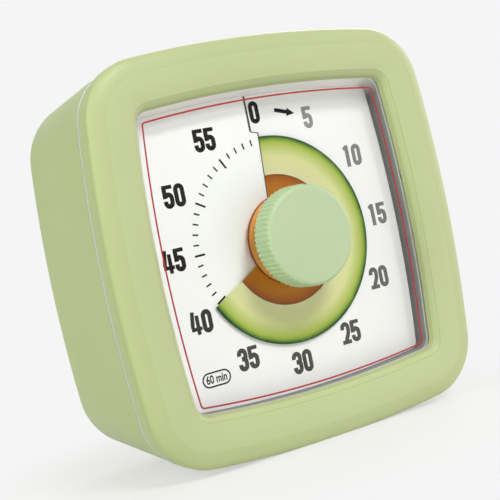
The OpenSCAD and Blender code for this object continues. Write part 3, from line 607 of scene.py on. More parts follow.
# Enamelled copper wire, wound: each turn shows as a fine line. Real turns of 0.1 mm are too fine
# to show, so they are drawn 0.25 mm apart
winding = new_material("copper_wire_enamelled_wound")
place = add(winding, "ShaderNodeTexCoord").outputs["Object"]
turns = add(winding, "ShaderNodeTexWave",
            {"Scale": 1 / (0.25 * mm) / 20, "Distortion": 0.6, "Detail": 1.0, "Detail Scale": 0.4},
            {"Vector": place}, wave_type="BANDS", bands_direction="Z")
wire_tone = add(winding, "ShaderNodeValToRGB", links={"Fac": turns.outputs["Fac"]},
                stops=[(0.1, "#7d3214"), (0.7, "#c96a35")])
wire_relief = add(winding, "ShaderNodeBump", {"Strength": 0.8, "Distance": 0.08 * mm},
                  {"Height": turns.outputs["Fac"]})
wire_shader = add(winding, "ShaderNodeBsdfPrincipled", {"Metallic": 1.0, "Roughness": 0.32},
                  {"Base Color": wire_tone, "Normal": wire_relief})
add(winding, "ShaderNodeOutputMaterial", links={"Surface": wire_shader})
wear(nodes["coil_winding"], winding)


# ---- chassis ----
# A black ABS plate across the case that carries the movement. Four screws hold it to the
# bezel, and four towers meet the rear shell's.
# Black ABS, moulded: an even dull black, since it is out of sight
black_abs = moulded("abs_moulded_black", "#333336", "#2b2b2e", rough=0.46, grain=0.4)
wear(nodes["chassis_plate"], black_abs)
wear(nodes["chassis_screws"], zinc_screw)


# ---- drive shaft ----
# A ground steel shaft from the movement to the knob, with a small collar. It runs free in the
# centre wheel and the brass bearing, and the knob is pressed onto its end.
# Ground steel: bright, with fine rings around the shaft
ground_steel = metal("steel_ground_shaft", "#c2c6ca", "#a4a9af", 0.2, 0.2, (1, 0.1, 1))
wear(nodes["drive_shaft"], ground_steel)


# ---- dial ----
# A white styrene sheet, cut along the line at the top and sprung into one turn of a stair, so
# that the disc can pass through the cut. It lies on a moulded ring. Numerals and marks are
# screen-printed on it.
dial_rise = 1.2
sheet = 0.3
dial_half = 29.03
dial_down = 0.4
dial_hole = 5.2
plate_top = sheet / 2
disc_radius = 20.4


def dial_height(x, y):
    """Height of the dial's upper surface at a place on it."""
    return dial_rise * ((math.degrees(math.atan2(x, y)) % 360) / 360 - 0.5) + plate_top


def flat_patch():
    """A square one unit wide, to be sized and placed."""
    bpy.ops.object.select_all(action="DESELECT")
    bpy.ops.mesh.primitive_plane_add(size=1)
    return bpy.context.object


def facing_out(flat):
    """Turns an open sheet's faces to the front of the dial."""
    mark(flat, "FACE", everything)
    bpy.ops.mesh.normals_make_consistent(inside=False)
    flat = done()
    if sum(face.normal.z for face in flat.data.polygons) < 0:
        mark(flat, "FACE", everything)
        bpy.ops.mesh.flip_normals()
        flat = done()
    return flat


def stair(inner, outer, start, span, rise_at_start, steps):
    """A sheet that climbs around the axis, clockwise from an angle past the top, in degrees."""
    nearly_a_line = 0.0001
    line = placed(flat_patch(), (0, (inner + outer) / 2, 0), size=(nearly_a_line, outer - inner, 1))
    mark(line, "VERT", everything)
    bpy.ops.mesh.remove_doubles(threshold=0.01)
    line = applied(done(), "SCREW", axis="Z", angle=-math.radians(span), screw_offset=dial_rise * span / 360,
                   steps=steps, render_steps=steps, use_merge_vertices=False)
    line = facing_out(placed(line, (0, 0, rise_at_start), (0, 0, -math.radians(start))))
    return applied(line, "SOLIDIFY", thickness=sheet, offset=0)


def dial_column(half, low, high):
    """A block with the dial's outline."""
    return loft([(moved_line(half), low), (moved_line(half), high)])


cut_left = -2.2
cut_foot = 21.55
cut_step = -0.75
cut_end = -1.7
dial = stair(dial_hole, 39, 0.5, 359, dial_rise * (0.5 / 360 - 0.5), 180)
lap = stair(20.75, 39, -7, 8, dial_rise * (-7 / 360 - 0.5), 8)
# The upper edge of the cut steps aside above the disc, over the lap of the lower edge
notch = block(cut_left, 0.6, cut_foot, 40, 0.05, 1.5)
mark(notch, "VERT", lambda place, normal: place.y < cut_foot + 0.1 and place.x > 0)
bpy.ops.transform.translate(value=(0, -0.65, 0))
notch = done()
combine(dial, notch)
# Below the step the upper edge runs straight to the hole, beside the lower edge
slope = block(cut_step, 0.6, 4, cut_foot - 0.3, 0.05, 1.5)
mark(slope, "VERT", lambda place, normal: place.y < 5 and place.x < 0)
bpy.ops.transform.translate(value=(cut_end - cut_step, 0, 0))
slope = done()
combine(dial, slope)
combine(dial, lap, "UNION")
combine(dial, placed(dial_column(dial_half, -3, 3), (0, -dial_down, 0)), "INTERSECT")
# Styrene sheet: clean white with a soft sheen
white_sheet = moulded("styrene_sheet_white", "#fdfdfd", "#fbfbfb", rough=0.4, grain=0.5, depth=0.004)
wear(dial, white_sheet)
stand_up(dial, "dial_sheet", "case", "dial_card", "dial_plate")
# The ring under the sheet is white ABS, matt, and is cut away below the lap
support = tidy(copied(nodes["dial_frame"]), 1e-7)
combine(support, upright(block(cut_left - 0.4, 0.02, cut_foot - 0.9, 40, -dial_rise, 2)))
wear(support, moulded("abs_moulded_white", "#f7f7f6", "#f2f2f0", rough=0.45))
pick(support)
support.name = support.data.name = "dial_support_ring"
bpy.ops.object.shade_smooth_by_angle(angle=math.radians(30))
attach(support, "case")
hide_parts("dial_frame")

ink_thick = 0.02
ink_gap = 0.008
figure_high = 4.42
figure_wide = 0.515
stroke = 0.205
bend = (figure_wide - stroke) / 2
upper = 1 - stroke / 2 - bend
lower = stroke / 2 + bend


def pen(start, heading, moves, width=stroke):
    """A flat stroke of the printed figures, in heights of a figure: the pen starts at a place,
    with a heading in degrees, and goes straight on or turns left with a radius and an angle."""
    starts_straight = len(moves[0]) == 1
    stub = 0.002
    first = moves[0][0] if starts_straight else stub
    ahead = Vector((math.cos(math.radians(heading)), math.sin(math.radians(heading)), 0))
    side = Vector((-ahead.y, ahead.x, 0))
    at = Vector((*start, 0))
    ink = placed(flat_patch(), at + ahead * first / 2, (0, 0, math.radians(heading)), (first, width, 1))
    at = at + ahead * first
    mark(ink, "EDGE", lambda place, along: (place - at).length < 0.001)
    for move in moves[1:] if starts_straight else moves:
        if len(move) == 1:
            bpy.ops.mesh.extrude_edges_move(TRANSFORM_OT_translate={"value": ahead * move[0]})
            at = at + ahead * move[0]
        else:
            radius, turn = move
            centre = at + side * radius * (1 if turn > 0 else -1)
            # spin counts its angle the other way round when there is no window
            bpy.ops.mesh.spin(steps=max(3, round(abs(turn) / 15)), angle=-math.radians(turn), center=centre,
                              axis=(0, 0, 1))
            swing = Matrix.Rotation(math.radians(turn), 3, "Z")
            at = centre + swing @ (at - centre)
            ahead = swing @ ahead
            side = swing @ side
    return done()


def figure(digit):
    """One printed numeral, on its base line, with its middle at x = 0."""
    if digit == "0":
        strokes = [pen((-bend, lower), 90, [(upper - lower,), (bend, -180), (upper - lower,), (bend, -180)])]
    elif digit == "1":
        strokes = [pen((0.04, 0), 90, [(1,)]), pen((0.02, 0.93), 212, [(0.19,)], 0.15)]
    elif digit == "2":
        strokes = [pen((-bend, 0.66), 90, [(upper - 0.66,), (bend, -180), (0.1,), (0.5, -30), (0.16,), (0.36, 30),
                                           (0.06,)]),
                   pen((-figure_wide / 2, 0.09), 0, [(figure_wide - 0.02,)], 0.18)]
    elif digit == "3":
        strokes = [pen((-bend, 0.68), 90, [(upper - 0.68,), (bend, -180), (upper - 0.64,), (0.11, -90), (0.1,)]),
                   pen((-bend, 0.32), 270, [(0.32 - lower,), (bend, 180), (0.42 - lower,), (0.11, 90), (0.1,)])]
    elif digit == "4":
        strokes = [pen((-0.1, 1), 262, [(0.68,)], 0.18), pen((-figure_wide / 2, 0.25), 0, [(figure_wide,)], 0.16),
                   pen((0.08, 0), 90, [(0.82,)], 0.18)]
    else:
        strokes = [pen((-figure_wide / 2 + 0.01, 0.915), 0, [(figure_wide - 0.03,)], 0.17),
                   pen((-bend, 0.9), 270, [(0.46,)]),
                   pen((-bend, 0.33), 270, [(0.33 - lower,), (bend, 180), (0.18,), (bend, 130), (0.02,)])]
    return tidy(join(strokes))


def printed(flat):
    """Lays flat shapes down on the dial as a thin layer of ink. Right of the cut, on the lap, the
    sheet is one rise lower."""
    pick(flat)
    for corner in flat.data.vertices:
        lap_here = cut_left < corner.co.x < 0 and corner.co.y > cut_foot
        corner.co.z = dial_height(corner.co.x, corner.co.y) - (dial_rise if lap_here else 0) + ink_gap
    return applied(facing_out(flat), "SOLIDIFY", thickness=ink_thick, offset=1)


numeral_places = {"0": (0.06, 25.25), "5": (12.25, 22.6), "10": (21.1, 13.5), "15": (24.35, 0.75),
                  "20": (21.55, -11.9), "25": (11.8, -21.15), "30": (-0.95, -24.2), "35": (-12.95, -20.7),
                  "40": (-21.35, -11.75), "45": (-24.45, 0.5), "50": (-21.7, 12.25), "55": (-12.9, 21.5)}
masters = {digit: figure(digit) for digit in "012345"}
step_on = figure_wide + 0.035
numerals = []
for number, (x, y) in numeral_places.items():
    for k, digit in enumerate(number):
        along = (k - (len(number) - 1) / 2) * step_on * figure_high
        numerals.append(placed(copied(masters[digit]), (x + along, y - figure_high / 2, 0),
                               size=(figure_high, figure_high, 1)))
for master in masters.values():
    bpy.data.objects.remove(master)
figures = printed(join(numerals))

# Screen-printing ink on the numerals: black at the long times, paler by steps to mid grey at 5
faded_ink = new_material("screen_ink_black_to_grey")
place, centred = about_axis(faded_ink)
apart = add(faded_ink, "ShaderNodeSeparateXYZ", links={"Vector": centred})
around = add(faded_ink, "ShaderNodeMath", links={0: apart.outputs["X"], 1: apart.outputs["Z"]}, operation="ARCTAN2")
turn_share = add(faded_ink, "ShaderNodeMapRange", {"From Min": -math.pi, "From Max": math.pi}, {"Value": around})
ink_steps = add(faded_ink, "ShaderNodeValToRGB", links={"Fac": turn_share}, stops=[
    (0.0, "#4c4948"), (0.13, "#383433"), (0.2, "#1b1514"), (0.5, "#181211"),
    (0.545, "#919191"), (0.625, "#848484"), (0.7, "#7b7b7b"), (0.79, "#676767"),
    (0.88, "#555454"), (0.96, "#4e4c4b")])
ink_steps.color_ramp.interpolation = "CONSTANT"
speck = add(faded_ink, "ShaderNodeTexNoise", {"Scale": 1 / (0.3 * mm), "Detail": 2.0}, {"Vector": place})
ink_satin = add(faded_ink, "ShaderNodeMapRange", {"To Min": 0.35, "To Max": 0.5}, {"Value": speck})
ink_shader = add(faded_ink, "ShaderNodeBsdfPrincipled", {"IOR": 1.5, "Specular IOR Level": 0.1},
                 {"Base Color": ink_steps, "Roughness": ink_satin})
add(faded_ink, "ShaderNodeOutputMaterial", links={"Surface": ink_shader})
wear(figures, faded_ink)
stand_up(figures, "dial_numerals", "case", "dial_card")

# Painted shadow beside the cut: thin strips laid on the sheet along the cut's edge
edges = [pen((cut_left - 0.22, dial_half - 0.5), 270, [(dial_half - 0.5 - cut_foot,)], 0.44),
         pen((cut_left - 0.1, cut_foot - 0.08), -13, [(cut_step - cut_left + 0.1,)], 0.2),
         pen((cut_step - 0.07, cut_foot - 0.3), 266.6, [(13.5,)], 0.24)]
cut_shadow_line = printed(join(edges))
# A warm dark grey line along the cut, painted as the shadow of the upper sheet's edge on the lap
cut_painted_shadow = moulded("styrene_cut_edge_painted_shadow", "#5a5451", "#4f4947", rough=0.6, grain=0.3, depth=0.002, gloss=0.2)
wear(cut_shadow_line, cut_painted_shadow)
stand_up(cut_shadow_line, "dial_cut_painted_shadow", "case", "dial_card")

marks_centre = (-0.5, 0.8)
minute_mark = (18.12, 19.35, 0.31)
five_mark = (17.19, 19.44, 0.39)
marks_turn = -1.2
marks = []
for minute in range(1, 60):
    low, high, width = five_mark if minute % 5 == 0 else minute_mark
    turn = math.radians(6 * minute + marks_turn)
    reach = (low + high) / 2
    marks.append(placed(flat_patch(), (marks_centre[0] + reach * math.sin(turn),
                                       marks_centre[1] + reach * math.cos(turn), 0),
                        (0, 0, -turn), (width, high - low, 1)))
arrow_tail = Vector((4.8, 25.1, 0))
arrow_tip = Vector((9.35, 23.85, 0))
aim = (arrow_tip - arrow_tail).normalized()
arrow_turn = math.atan2(aim.y, aim.x)
shaft = pen((0, 0), math.degrees(arrow_turn), [((arrow_tip - arrow_tail).length - 1.5,)], 0.78)
marks.append(placed(shaft, arrow_tail))
bpy.ops.object.select_all(action="DESELECT")
bpy.ops.mesh.primitive_circle_add(vertices=4, radius=1, fill_type="NGON")
mark(bpy.context.object, "VERT", lambda place, normal: place.y < -0.5)
bpy.ops.transform.translate(value=(0, 1.15, 0))
head_long = 1.95
marks.append(placed(done(), arrow_tip - aim * head_long, (0, 0, arrow_turn - math.pi / 2), (0.88, head_long, 1)))
badge_at = Vector((-20.6, -22.7, 0))
badge_round = 1.3
badge_straight = 3.4
pill = pen((-badge_straight / 2, badge_round), 0, [(badge_straight,), (badge_round, -180)] * 2, 0.29)
marks.append(placed(pill, badge_at))
bpy.ops.object.select_all(action="DESELECT")
bpy.ops.object.text_add()
words = bpy.context.object
words.data.body = "60 min"
words.data.size = 2.1
words.data.align_x = "CENTER"
words.data.align_y = "CENTER"
words.data.offset = 0.045
words.data.resolution_u = 4
marks.append(placed(as_mesh(words), badge_at, size=(0.8, 1.05, 1)))
black_print = printed(join(marks))
# Black screen-printing ink: dense, with a slight sheen
black_ink = moulded("screen_ink_black", "#120d0c", "#0e0a0a", rough=0.42, grain=0.3, depth=0.002, gloss=0.1)
wear(black_print, black_ink)
stand_up(black_print, "dial_marks", "case", "dial_card")


# ---- surround ----
# The wall between the window and the dial: a grey ABS ring whose faces slope in a little
# towards the dial. Its rim carries the clear sheet.
def case_ring(section, path_half=34):
    """A ring of one section around the case. Section corners are (half width, height)."""
    path = moved_line(path_half)
    trace = bpy.data.curves.new("section", "CURVE")
    trace.dimensions = "2D"
    trace.fill_mode = "NONE"
    line = trace.splines.new("POLY")
    line.points.add(len(section) - 1)
    for point, (half, height) in zip(line.points, section):
        point.co = (path_half - half, height, 0, 1)
    line.use_cyclic_u = True
    guide = bpy.data.objects.new("section", trace)
    bpy.context.scene.collection.objects.link(guide)
    path.data.bevel_mode = "OBJECT"
    path.data.bevel_object = guide
    ring = as_mesh(path)
    bpy.data.objects.remove(guide)
    return ring


surround_foot = 29.05
surround = case_ring([(surround_foot, -1.2), (surround_foot, -3), (31, -3), (31, -2), (surround_foot + 1.1, -2),
                      (30.75, 2.4), (31, 2.4), (31, 3.2), (29.65, 3.2), (29.25, 1.7),
                      (surround_foot + 0.03, 0.9)], 30)
tidy(surround)
# The foot follows the dial down, so the upper wall leans further in than the lower one
mark(surround, "VERT", lambda place, normal: place.z < 1.2)
bpy.ops.transform.translate(value=(0, -dial_down, 0))
surround = done()
# Grey ABS, moulded, with painted light and shade: pale grey painted on the upper and left walls as painted light,
# charcoal on the right and lower walls as painted shade, darker towards the dial as painted shade, and a pale
# painted highlight along the lip
grey_wall_painted_shade = new_material("abs_moulded_grey_painted_light_and_shade")
place, centred = about_axis(grey_wall_painted_shade)
apart = add(grey_wall_painted_shade, "ShaderNodeSeparateXYZ", links={"Vector": centred})
across = add(grey_wall_painted_shade, "ShaderNodeMath", links={0: apart.outputs["X"], 1: apart.outputs["Z"]},
             operation="SUBTRACT")
share = add(grey_wall_painted_shade, "ShaderNodeMapRange", {"From Min": -3 * mm, "From Max": 3 * mm}, {"Value": across})
flow = add(grey_wall_painted_shade, "ShaderNodeTexNoise", {"Scale": 1 / (9 * mm), "Detail": 2.0}, {"Vector": place})
depth = add(grey_wall_painted_shade, "ShaderNodeMapRange", {"From Min": dial_depth - 0.6 * mm, "From Max": dial_depth - 3.2 * mm},
            {"Value": apart.outputs["Y"]})
# Painted shade darkening the wall towards the dial, with a pale painted highlight near the lip
painted_shade_tone = add(grey_wall_painted_shade, "ShaderNodeValToRGB", links={"Fac": depth}, stops=[
    (0.0, "#59595a"), (0.6, "#77777a"), (0.84, "#8a8a8c"), (0.92, "#d4d4d2")])
# Painted light on the upper and left walls, painted shade on the right and lower ones
painted_light_and_shade = add(grey_wall_painted_shade, "ShaderNodeMixRGB", {"Color1": linear("#f6f4f2")}, {"Fac": share, "Color2": painted_shade_tone})
mixed = add(grey_wall_painted_shade, "ShaderNodeMixRGB", {"Color2": linear("#9a9a9a")},
            {"Color1": painted_light_and_shade, "Fac": add(grey_wall_painted_shade, "ShaderNodeMapRange", {"To Max": 0.12}, {"Value": flow})})
relief = grained(grey_wall_painted_shade, place, 0.3, 0.01)[1]
wall_shader = add(grey_wall_painted_shade, "ShaderNodeBsdfPrincipled", {"Roughness": 0.45, "IOR": 1.53},
                  {"Base Color": mixed, "Normal": relief})
add(grey_wall_painted_shade, "ShaderNodeOutputMaterial", links={"Surface": wall_shader})
wear(surround, grey_wall_painted_shade)
stand_up(surround, "surround_wall", "case", "grey_plastic", "dial_surround")


# ---- countdown disc and hub ----
# A thin polyester disc on a small hub, cut along one radius and sprung to the dial's pitch. Its
# print is a halved avocado: dark skin, green to cream flesh and a brown stone.
rest_turn = 241.2
hub_radius = 4.6
stone_radius = 12.8
flesh_start = 12.5
disc = stair(hub_radius, disc_radius, rest_turn - 359, 359, dial_rise * (rest_turn - 359) / 360, 180)
# Polyester sheet, screen-printed: even matt rings of ink, whose borders waver a little
disc_print = new_material("polyester_sheet_printed_avocado")
place, centred = about_axis(disc_print, 0)
reach = add(disc_print, "ShaderNodeVectorMath", links={0: centred}, operation="LENGTH")
cloud = add(disc_print, "ShaderNodeTexNoise", {"Scale": 1 / (5 * mm), "Detail": 3.0}, {"Vector": place})
drift = add(disc_print, "ShaderNodeMapRange", {"To Min": -0.35 * mm, "To Max": 0.35 * mm}, {"Value": cloud})
uneven = add(disc_print, "ShaderNodeMath", links={0: reach, 1: drift}, operation="ADD")
flesh_share = add(disc_print, "ShaderNodeMapRange", {"From Min": flesh_start * mm, "From Max": disc_radius * mm},
                  {"Value": uneven})
flesh = add(disc_print, "ShaderNodeValToRGB", links={"Fac": flesh_share}, stops=[
    (0.0, "#e0e1b0"), (0.25, "#dfdda6"), (0.5, "#dcdd9d"), (0.61, "#cad48a"),
    (0.735, "#bcc66d"), (0.825, "#a8bc54"), (0.885, "#90a73a"), (0.92, "#739633"),
    (0.948, "#4a7530"), (0.972, "#2b5428"), (1.0, "#183c1d")])
stone_share = add(disc_print, "ShaderNodeMapRange", {"From Min": 6 * mm, "From Max": stone_radius * mm},
                  {"Value": uneven})
stone = add(disc_print, "ShaderNodeValToRGB", links={"Fac": stone_share}, stops=[
    (0.0, "#dc982e"), (0.45, "#ce8420"), (0.69, "#bc741a"), (0.85, "#af6118"),
    (0.955, "#985318"), (1.0, "#723a18")])
inside = add(disc_print, "ShaderNodeMath", {1: stone_radius * mm}, {0: reach}, operation="LESS_THAN")
both = add(disc_print, "ShaderNodeMixRGB", links={"Fac": inside, "Color1": flesh, "Color2": stone})
disc_shader = add(disc_print, "ShaderNodeBsdfPrincipled",
                  {"Roughness": 0.42, "IOR": 1.55, "Specular IOR Level": 0.12}, {"Base Color": both})
add(disc_print, "ShaderNodeOutputMaterial", links={"Surface": disc_shader})
wear(disc, disc_print)
stand_up(disc, "countdown_disc_printed", "disc_unit", "disc_film", "countdown_disc")
# Brown ABS of the hub, matt
brown_abs = moulded("abs_moulded_brown", "#b06a2c", "#a66126", rough=0.45)
wear(nodes["disc_hub"], brown_abs)


# ---- cover plate ----
# A thin round ABS plate behind the knob that covers the hub and the hole in the dial: orange
# brown like the printed stone, lightened as painted light and darkened around its rim as painted shade.
cap_radius = 8.75
shaft_hole = 1.25
cap_low = 1.6
cap_high = 2.25
cap = rod(cap_radius, cap_low, cap_high, sides=144)
cap = bevelled(cap, "EDGE", lambda place, along: abs(along.z) < 0.1 and place.z > cap_high - 0.25, 0.4, 5)
cap = bevelled(cap, "EDGE", lambda place, along: abs(along.z) < 0.1 and place.z < cap_low + 0.05, 0.12, 2)
combine(cap, rod(shaft_hole, 1, 3, sides=48))
# ABS, moulded: orange brown with a satin face, lightened as painted light where the knob shades it, and darkened to
# the rim as painted shade
cap_print = new_material("abs_moulded_orange_brown_painted_light_and_shade")
place, centred = about_axis(cap_print, 0)
reach = add(cap_print, "ShaderNodeVectorMath", links={0: centred}, operation="LENGTH")
rim_share = add(cap_print, "ShaderNodeMapRange", {"From Min": 6 * mm, "From Max": cap_radius * mm},
                {"Value": reach})
# Bright orange as painted light on the face, dark brown at the rim as painted shade
rim = add(cap_print, "ShaderNodeValToRGB", links={"Fac": rim_share}, stops=[
    (0.0, "#ffb868"), (0.84, "#fcae5d"), (0.93, "#d98743"), (0.985, "#5f3520")])
relief = grained(cap_print, place, 0.3, 0.01)[1]
cap_shader = add(cap_print, "ShaderNodeBsdfPrincipled",
                 {"Roughness": 0.42, "IOR": 1.53, "Specular IOR Level": 0.25},
                 {"Base Color": rim, "Normal": relief})
add(cap_print, "ShaderNodeOutputMaterial", links={"Surface": cap_shader})
wear(cap, cap_print)
stand_up(cap, "cover_plate", "knob_unit", "brown_plastic", "knob_cap")


# ---- front bezel ----
# The front half of the case: an ABS frame with a rounded outer band, a flat face and a bevel to
# the window. A lip centres it in the rear shell, a rib holds the clear sheet, and four
# bosses take the chassis screws.
window_half = 29.5
band_in = 36.35
band_start = 4.5
crease = 0.13


def band_point(t):
    """The outer band's curve, from the flat face round to the side."""
    knots = [(band_in, face_high), (37.7, 5.86), (39.42, 5.62), (case_half, band_start)]
    weights = [(1 - t)**3, 3 * t * (1 - t)**2, 3 * t**2 * (1 - t), t**3]
    return tuple(sum(w * k[i] for w, k in zip(weights, knots)) for i in (0, 1))


bevel_out = window_half + 1.4
section = [(window_half, 4.25), (window_half + 0.5, 5.12), (bevel_out - crease * 0.6, face_high - crease * 0.8),
           (bevel_out + crease, face_high), (band_in - crease, face_high)]
section += [band_point(t / 12) for t in range(13)][1:]
section += [(39.42, 2.6), (side_width, 0.3), (37, 0.3), (36.65, -2.35), (36, -2.35), (36.3, 4.25), (32.35, 4.25),
            (32.35, 2.2), (31.15, 2.2), (31.15, 4.25)]
bezel = case_ring(section, 35)
strips = len(section)
crease_strips = (2, 4)
band_strips = range(5, 17)
# The same ABS on the outer band, painted a shade lighter as painted light
painted_light_band = moulded("abs_moulded_pale_green_band_painted_light", "#bfc894", "#bbc490", gloss=0.3)
wear(bezel, green_abs, painted_highlight_crease, painted_light_band)
# The crease strips take the painted highlight and the band strips the painted light
for face_of in bezel.data.polygons:
    strip = face_of.index % strips
    face_of.material_index = 1 if strip in crease_strips else 2 if strip in band_strips else 0
tidy(bezel)
for x in (-33.5, 33.5):
    for y in (-20, 20):
        combine(bezel, rod(2.2, -3, 4.75, x, y), "UNION")
        combine(bezel, rod(0.9, -3.5, 3.2, x, y, 24))
combine(bezel, block(-45, 45, -45, -axis_height / mm, -40, 40))
stand_up(bezel, "front_bezel_moulding", "case", "case_plastic", "front_bezel")


# ---- trim ring ----
# A thin ring of chrome-plated ABS with a soft round edge. It is held between the two halves of
# the case when the four case screws are done up.
trim = case_ring([(37.15, -0.3), (38.95, -0.3), (39.16, -0.19), (39.2, 0), (39.16, 0.19), (38.95, 0.3),
                  (37.15, 0.3)], 38)
tidy(trim)
# Satin chrome plate: light silver, softly blurred, without the marks of a bare metal
satin_chrome = metal("abs_chrome_plated_satin", "#d2d2d3", "#c6c6c9", 0.42, 1.2)
wear(trim, satin_chrome)
stand_up(trim, "trim_ring_plated", "case", "silver_trim", "trim_ring")


# ---- window ----
# A clear acrylic sheet with a hole for the knob's neck, laser-cut, with a thin red line
# screen-printed on its back just inside the window.
sheet_low = 3.2
sheet_high = 4.2
sheet_half = 31
neck_hole = 4.9
lens = dial_column(sheet_half, sheet_low, sheet_high)
combine(lens, rod(neck_hole, 2, 6, sides=96))
soften(lens, 0.06, 1, 60)
# Acrylic sheet: clear, with the faintest haze of wiping. It lets the lamps' light through, so
# that the dial is lit as brightly as it is through a real thin window
acrylic = new_material("acrylic_sheet_clear")
place = add(acrylic, "ShaderNodeTexCoord").outputs["Object"]
wipe = add(acrylic, "ShaderNodeTexNoise", {"Scale": 1 / (7 * mm), "Detail": 3.0}, {"Vector": place})
haze = add(acrylic, "ShaderNodeMapRange", {"To Min": 0.0, "To Max": 0.03}, {"Value": wipe})
glass = add(acrylic, "ShaderNodeBsdfPrincipled",
            {"Base Color": linear("#ffffff"), "IOR": 1.49, "Transmission Weight": 1.0,
             "Specular Tint": (0.1, 0.1, 0.1, 1)}, {"Roughness": haze})
open_way = add(acrylic, "ShaderNodeBsdfTransparent", {"Color": linear("#ffffff")})
ray = add(acrylic, "ShaderNodeLightPath")
lamp_ray = add(acrylic, "ShaderNodeMath", links={0: ray.outputs["Is Shadow Ray"], 1: ray.outputs["Is Diffuse Ray"]},
               operation="MAXIMUM")
clear_mix = add(acrylic, "ShaderNodeMixShader", links={"Fac": lamp_ray, 1: glass, 2: open_way})
add(acrylic, "ShaderNodeOutputMaterial", links={"Surface": clear_mix})
wear(lens, acrylic)
stand_up(lens, "window_acrylic", "case", "clear_plastic", "window_lens")

red_in, red_out = 27.84, 28.16
red_back, red_front = sheet_low - 0.025, sheet_low - 0.005
red_down = 0.35
red_line = case_ring([(red_in, red_back), (red_out, red_back), (red_out, red_front), (red_in, red_front)], 28)
tidy(red_line, 0.0001)
placed(red_line, (0, -red_down, 0))
# Red screen-printing ink on acrylic: bright and even
red_ink = moulded("screen_ink_red", "#b8211f", "#ae1d1b", rough=0.4, grain=0.3, depth=0.002, gloss=0.3)
wear(red_line, red_ink)
stand_up(red_line, "window_red_line", "case", "clear_plastic")


# ---- knob ----
# A solid-looking ABS knob with sixty fine flutes that run out into a smooth rim, a flat face
# and a narrow neck that reaches through the window to the shaft.
knob_radius = 9.75
knob_low = 6
knob_high = 10.9
flutes = 60
columns = 6
flute_deep = 0.28
neck_radius = 4.2
neck_low = cap_high
foot_round = 0.15
knob = rod(knob_radius, knob_low, knob_high, sides=flutes * columns)
knob = bevelled(knob, "EDGE", lambda place, along: abs(along.z) < 0.1 and place.z > knob_high - 0.01, 1, 9)
knob = bevelled(knob, "EDGE", lambda place, along: abs(along.z) < 0.1 and place.z < knob_low + 0.01, foot_round, 2)
mark(knob, "EDGE", lambda place, along: abs(along.z) > 0.99 and abs(place.z - (knob_low + knob_high) / 2) < 1)
bpy.ops.mesh.subdivide(number_cuts=7)
knob = done()
mark(knob, "FACE", lambda place, normal: normal.z < -0.99 and place.to_2d().length < 1)
bpy.ops.mesh.inset(thickness=knob_radius - foot_round - neck_radius)
draw_out(neck_low - knob_low)
bpy.ops.mesh.inset(thickness=neck_radius - shaft_hole)
draw_out(knob_high - 1.2 - neck_low)
knob = done()


def flute_share(place):
    """How deep a point of the knob's side lies in its flute, from 0 on a ridge to 1 in a groove."""
    if place.to_2d().length < knob_radius - 0.9:
        return 0
    turn = math.atan2(place.y, place.x) / (2 * math.pi) * flutes
    run_out = min(1, max(0, (knob_high - 0.05 - place.z) / 0.6))
    return round((0.5 - 0.5 * math.cos(2 * math.pi * turn)) * run_out, 2)


depths = sorted({flute_share(corner.co) for corner in knob.data.vertices} - {0})
for depth in depths:
    mark(knob, "VERT", lambda place, normal, d=depth: flute_share(place) == d)
    shrink = 1 - flute_deep * depth / knob_radius
    bpy.ops.transform.resize(value=(shrink, shrink, 1))
    knob = done()
# ABS, moulded and lightly polished: mint green with a soft satin face
mint_abs = moulded("abs_moulded_mint_green", "#c1d1ab", "#bacca2", rough=0.4, grain=0.3, depth=0.006)
# The fluted side is painted a deeper green than the face, as painted shade
place, centred = about_axis(mint_abs, 0)
reach = add(mint_abs, "ShaderNodeVectorMath", links={0: centred}, operation="LENGTH")
side_share = add(mint_abs, "ShaderNodeMapRange", {"From Min": 8.7 * mm, "From Max": 9.5 * mm}, {"Value": reach})
inks = {node.type: node for node in mint_abs.node_tree.nodes}
painted_shade_side = add(mint_abs, "ShaderNodeMixRGB", {"Color2": linear("#b6cea3")},
               {"Fac": side_share, "Color1": inks["VALTORGB"].outputs["Color"]})
mint_abs.node_tree.links.new(painted_shade_side.outputs["Color"], inks["BSDF_PRINCIPLED"].inputs["Base Color"])
wear(knob, mint_abs)
stand_up(knob, "knob_fluted", "knob_unit", "knob_plastic", "knob", smooth=50)


# ---- battery door ----
# A flat ABS door hinged on two tabs along its lower edge, with moulded grip lines at the top
# and one long line above the hinge.
door_front = shell_back + 1.25
door = bevelled(block(-door_half, door_half, door_low, door_high, shell_back, door_front), "EDGE", standing, 0.8, 5)
for x in (-hinge_at, hinge_at):
    tab = placed(rod(1.2, -3, 3, sides=40), (x, door_low, shell_back), across_the_case)
    combine(tab, block(x - 3, x + 3, door_low - 1.25, door_low + 1.25, shell_back + 0.3, shell_back + 1.55),
            "INTERSECT")
    combine(door, tab, "UNION")
soften(door, 0.12, 2, 50)


def groove(x0, x1, y0, y1, deep):
    """A rounded groove cutter in the door's outer face."""
    cutter = block(x0, x1, y0, y1, shell_back - 0.5, shell_back + deep)
    return bevelled(bevelled(cutter, "EDGE", standing, (y1 - y0) * 0.48, 6), "FACE", facing_front, 0.12, 3)


for k in range(4):
    low = door_high - 3 - 1.4 * k
    combine(door, groove(-6, 6, low, low + 0.6, 0.4))
combine(door, groove(-20.5, 20.5, door_low + 2, door_low + 2.5, 0.3))
wear(door, green_abs)
stand_up(door, "battery_door_moulding", "door", "case_plastic", "battery_door")


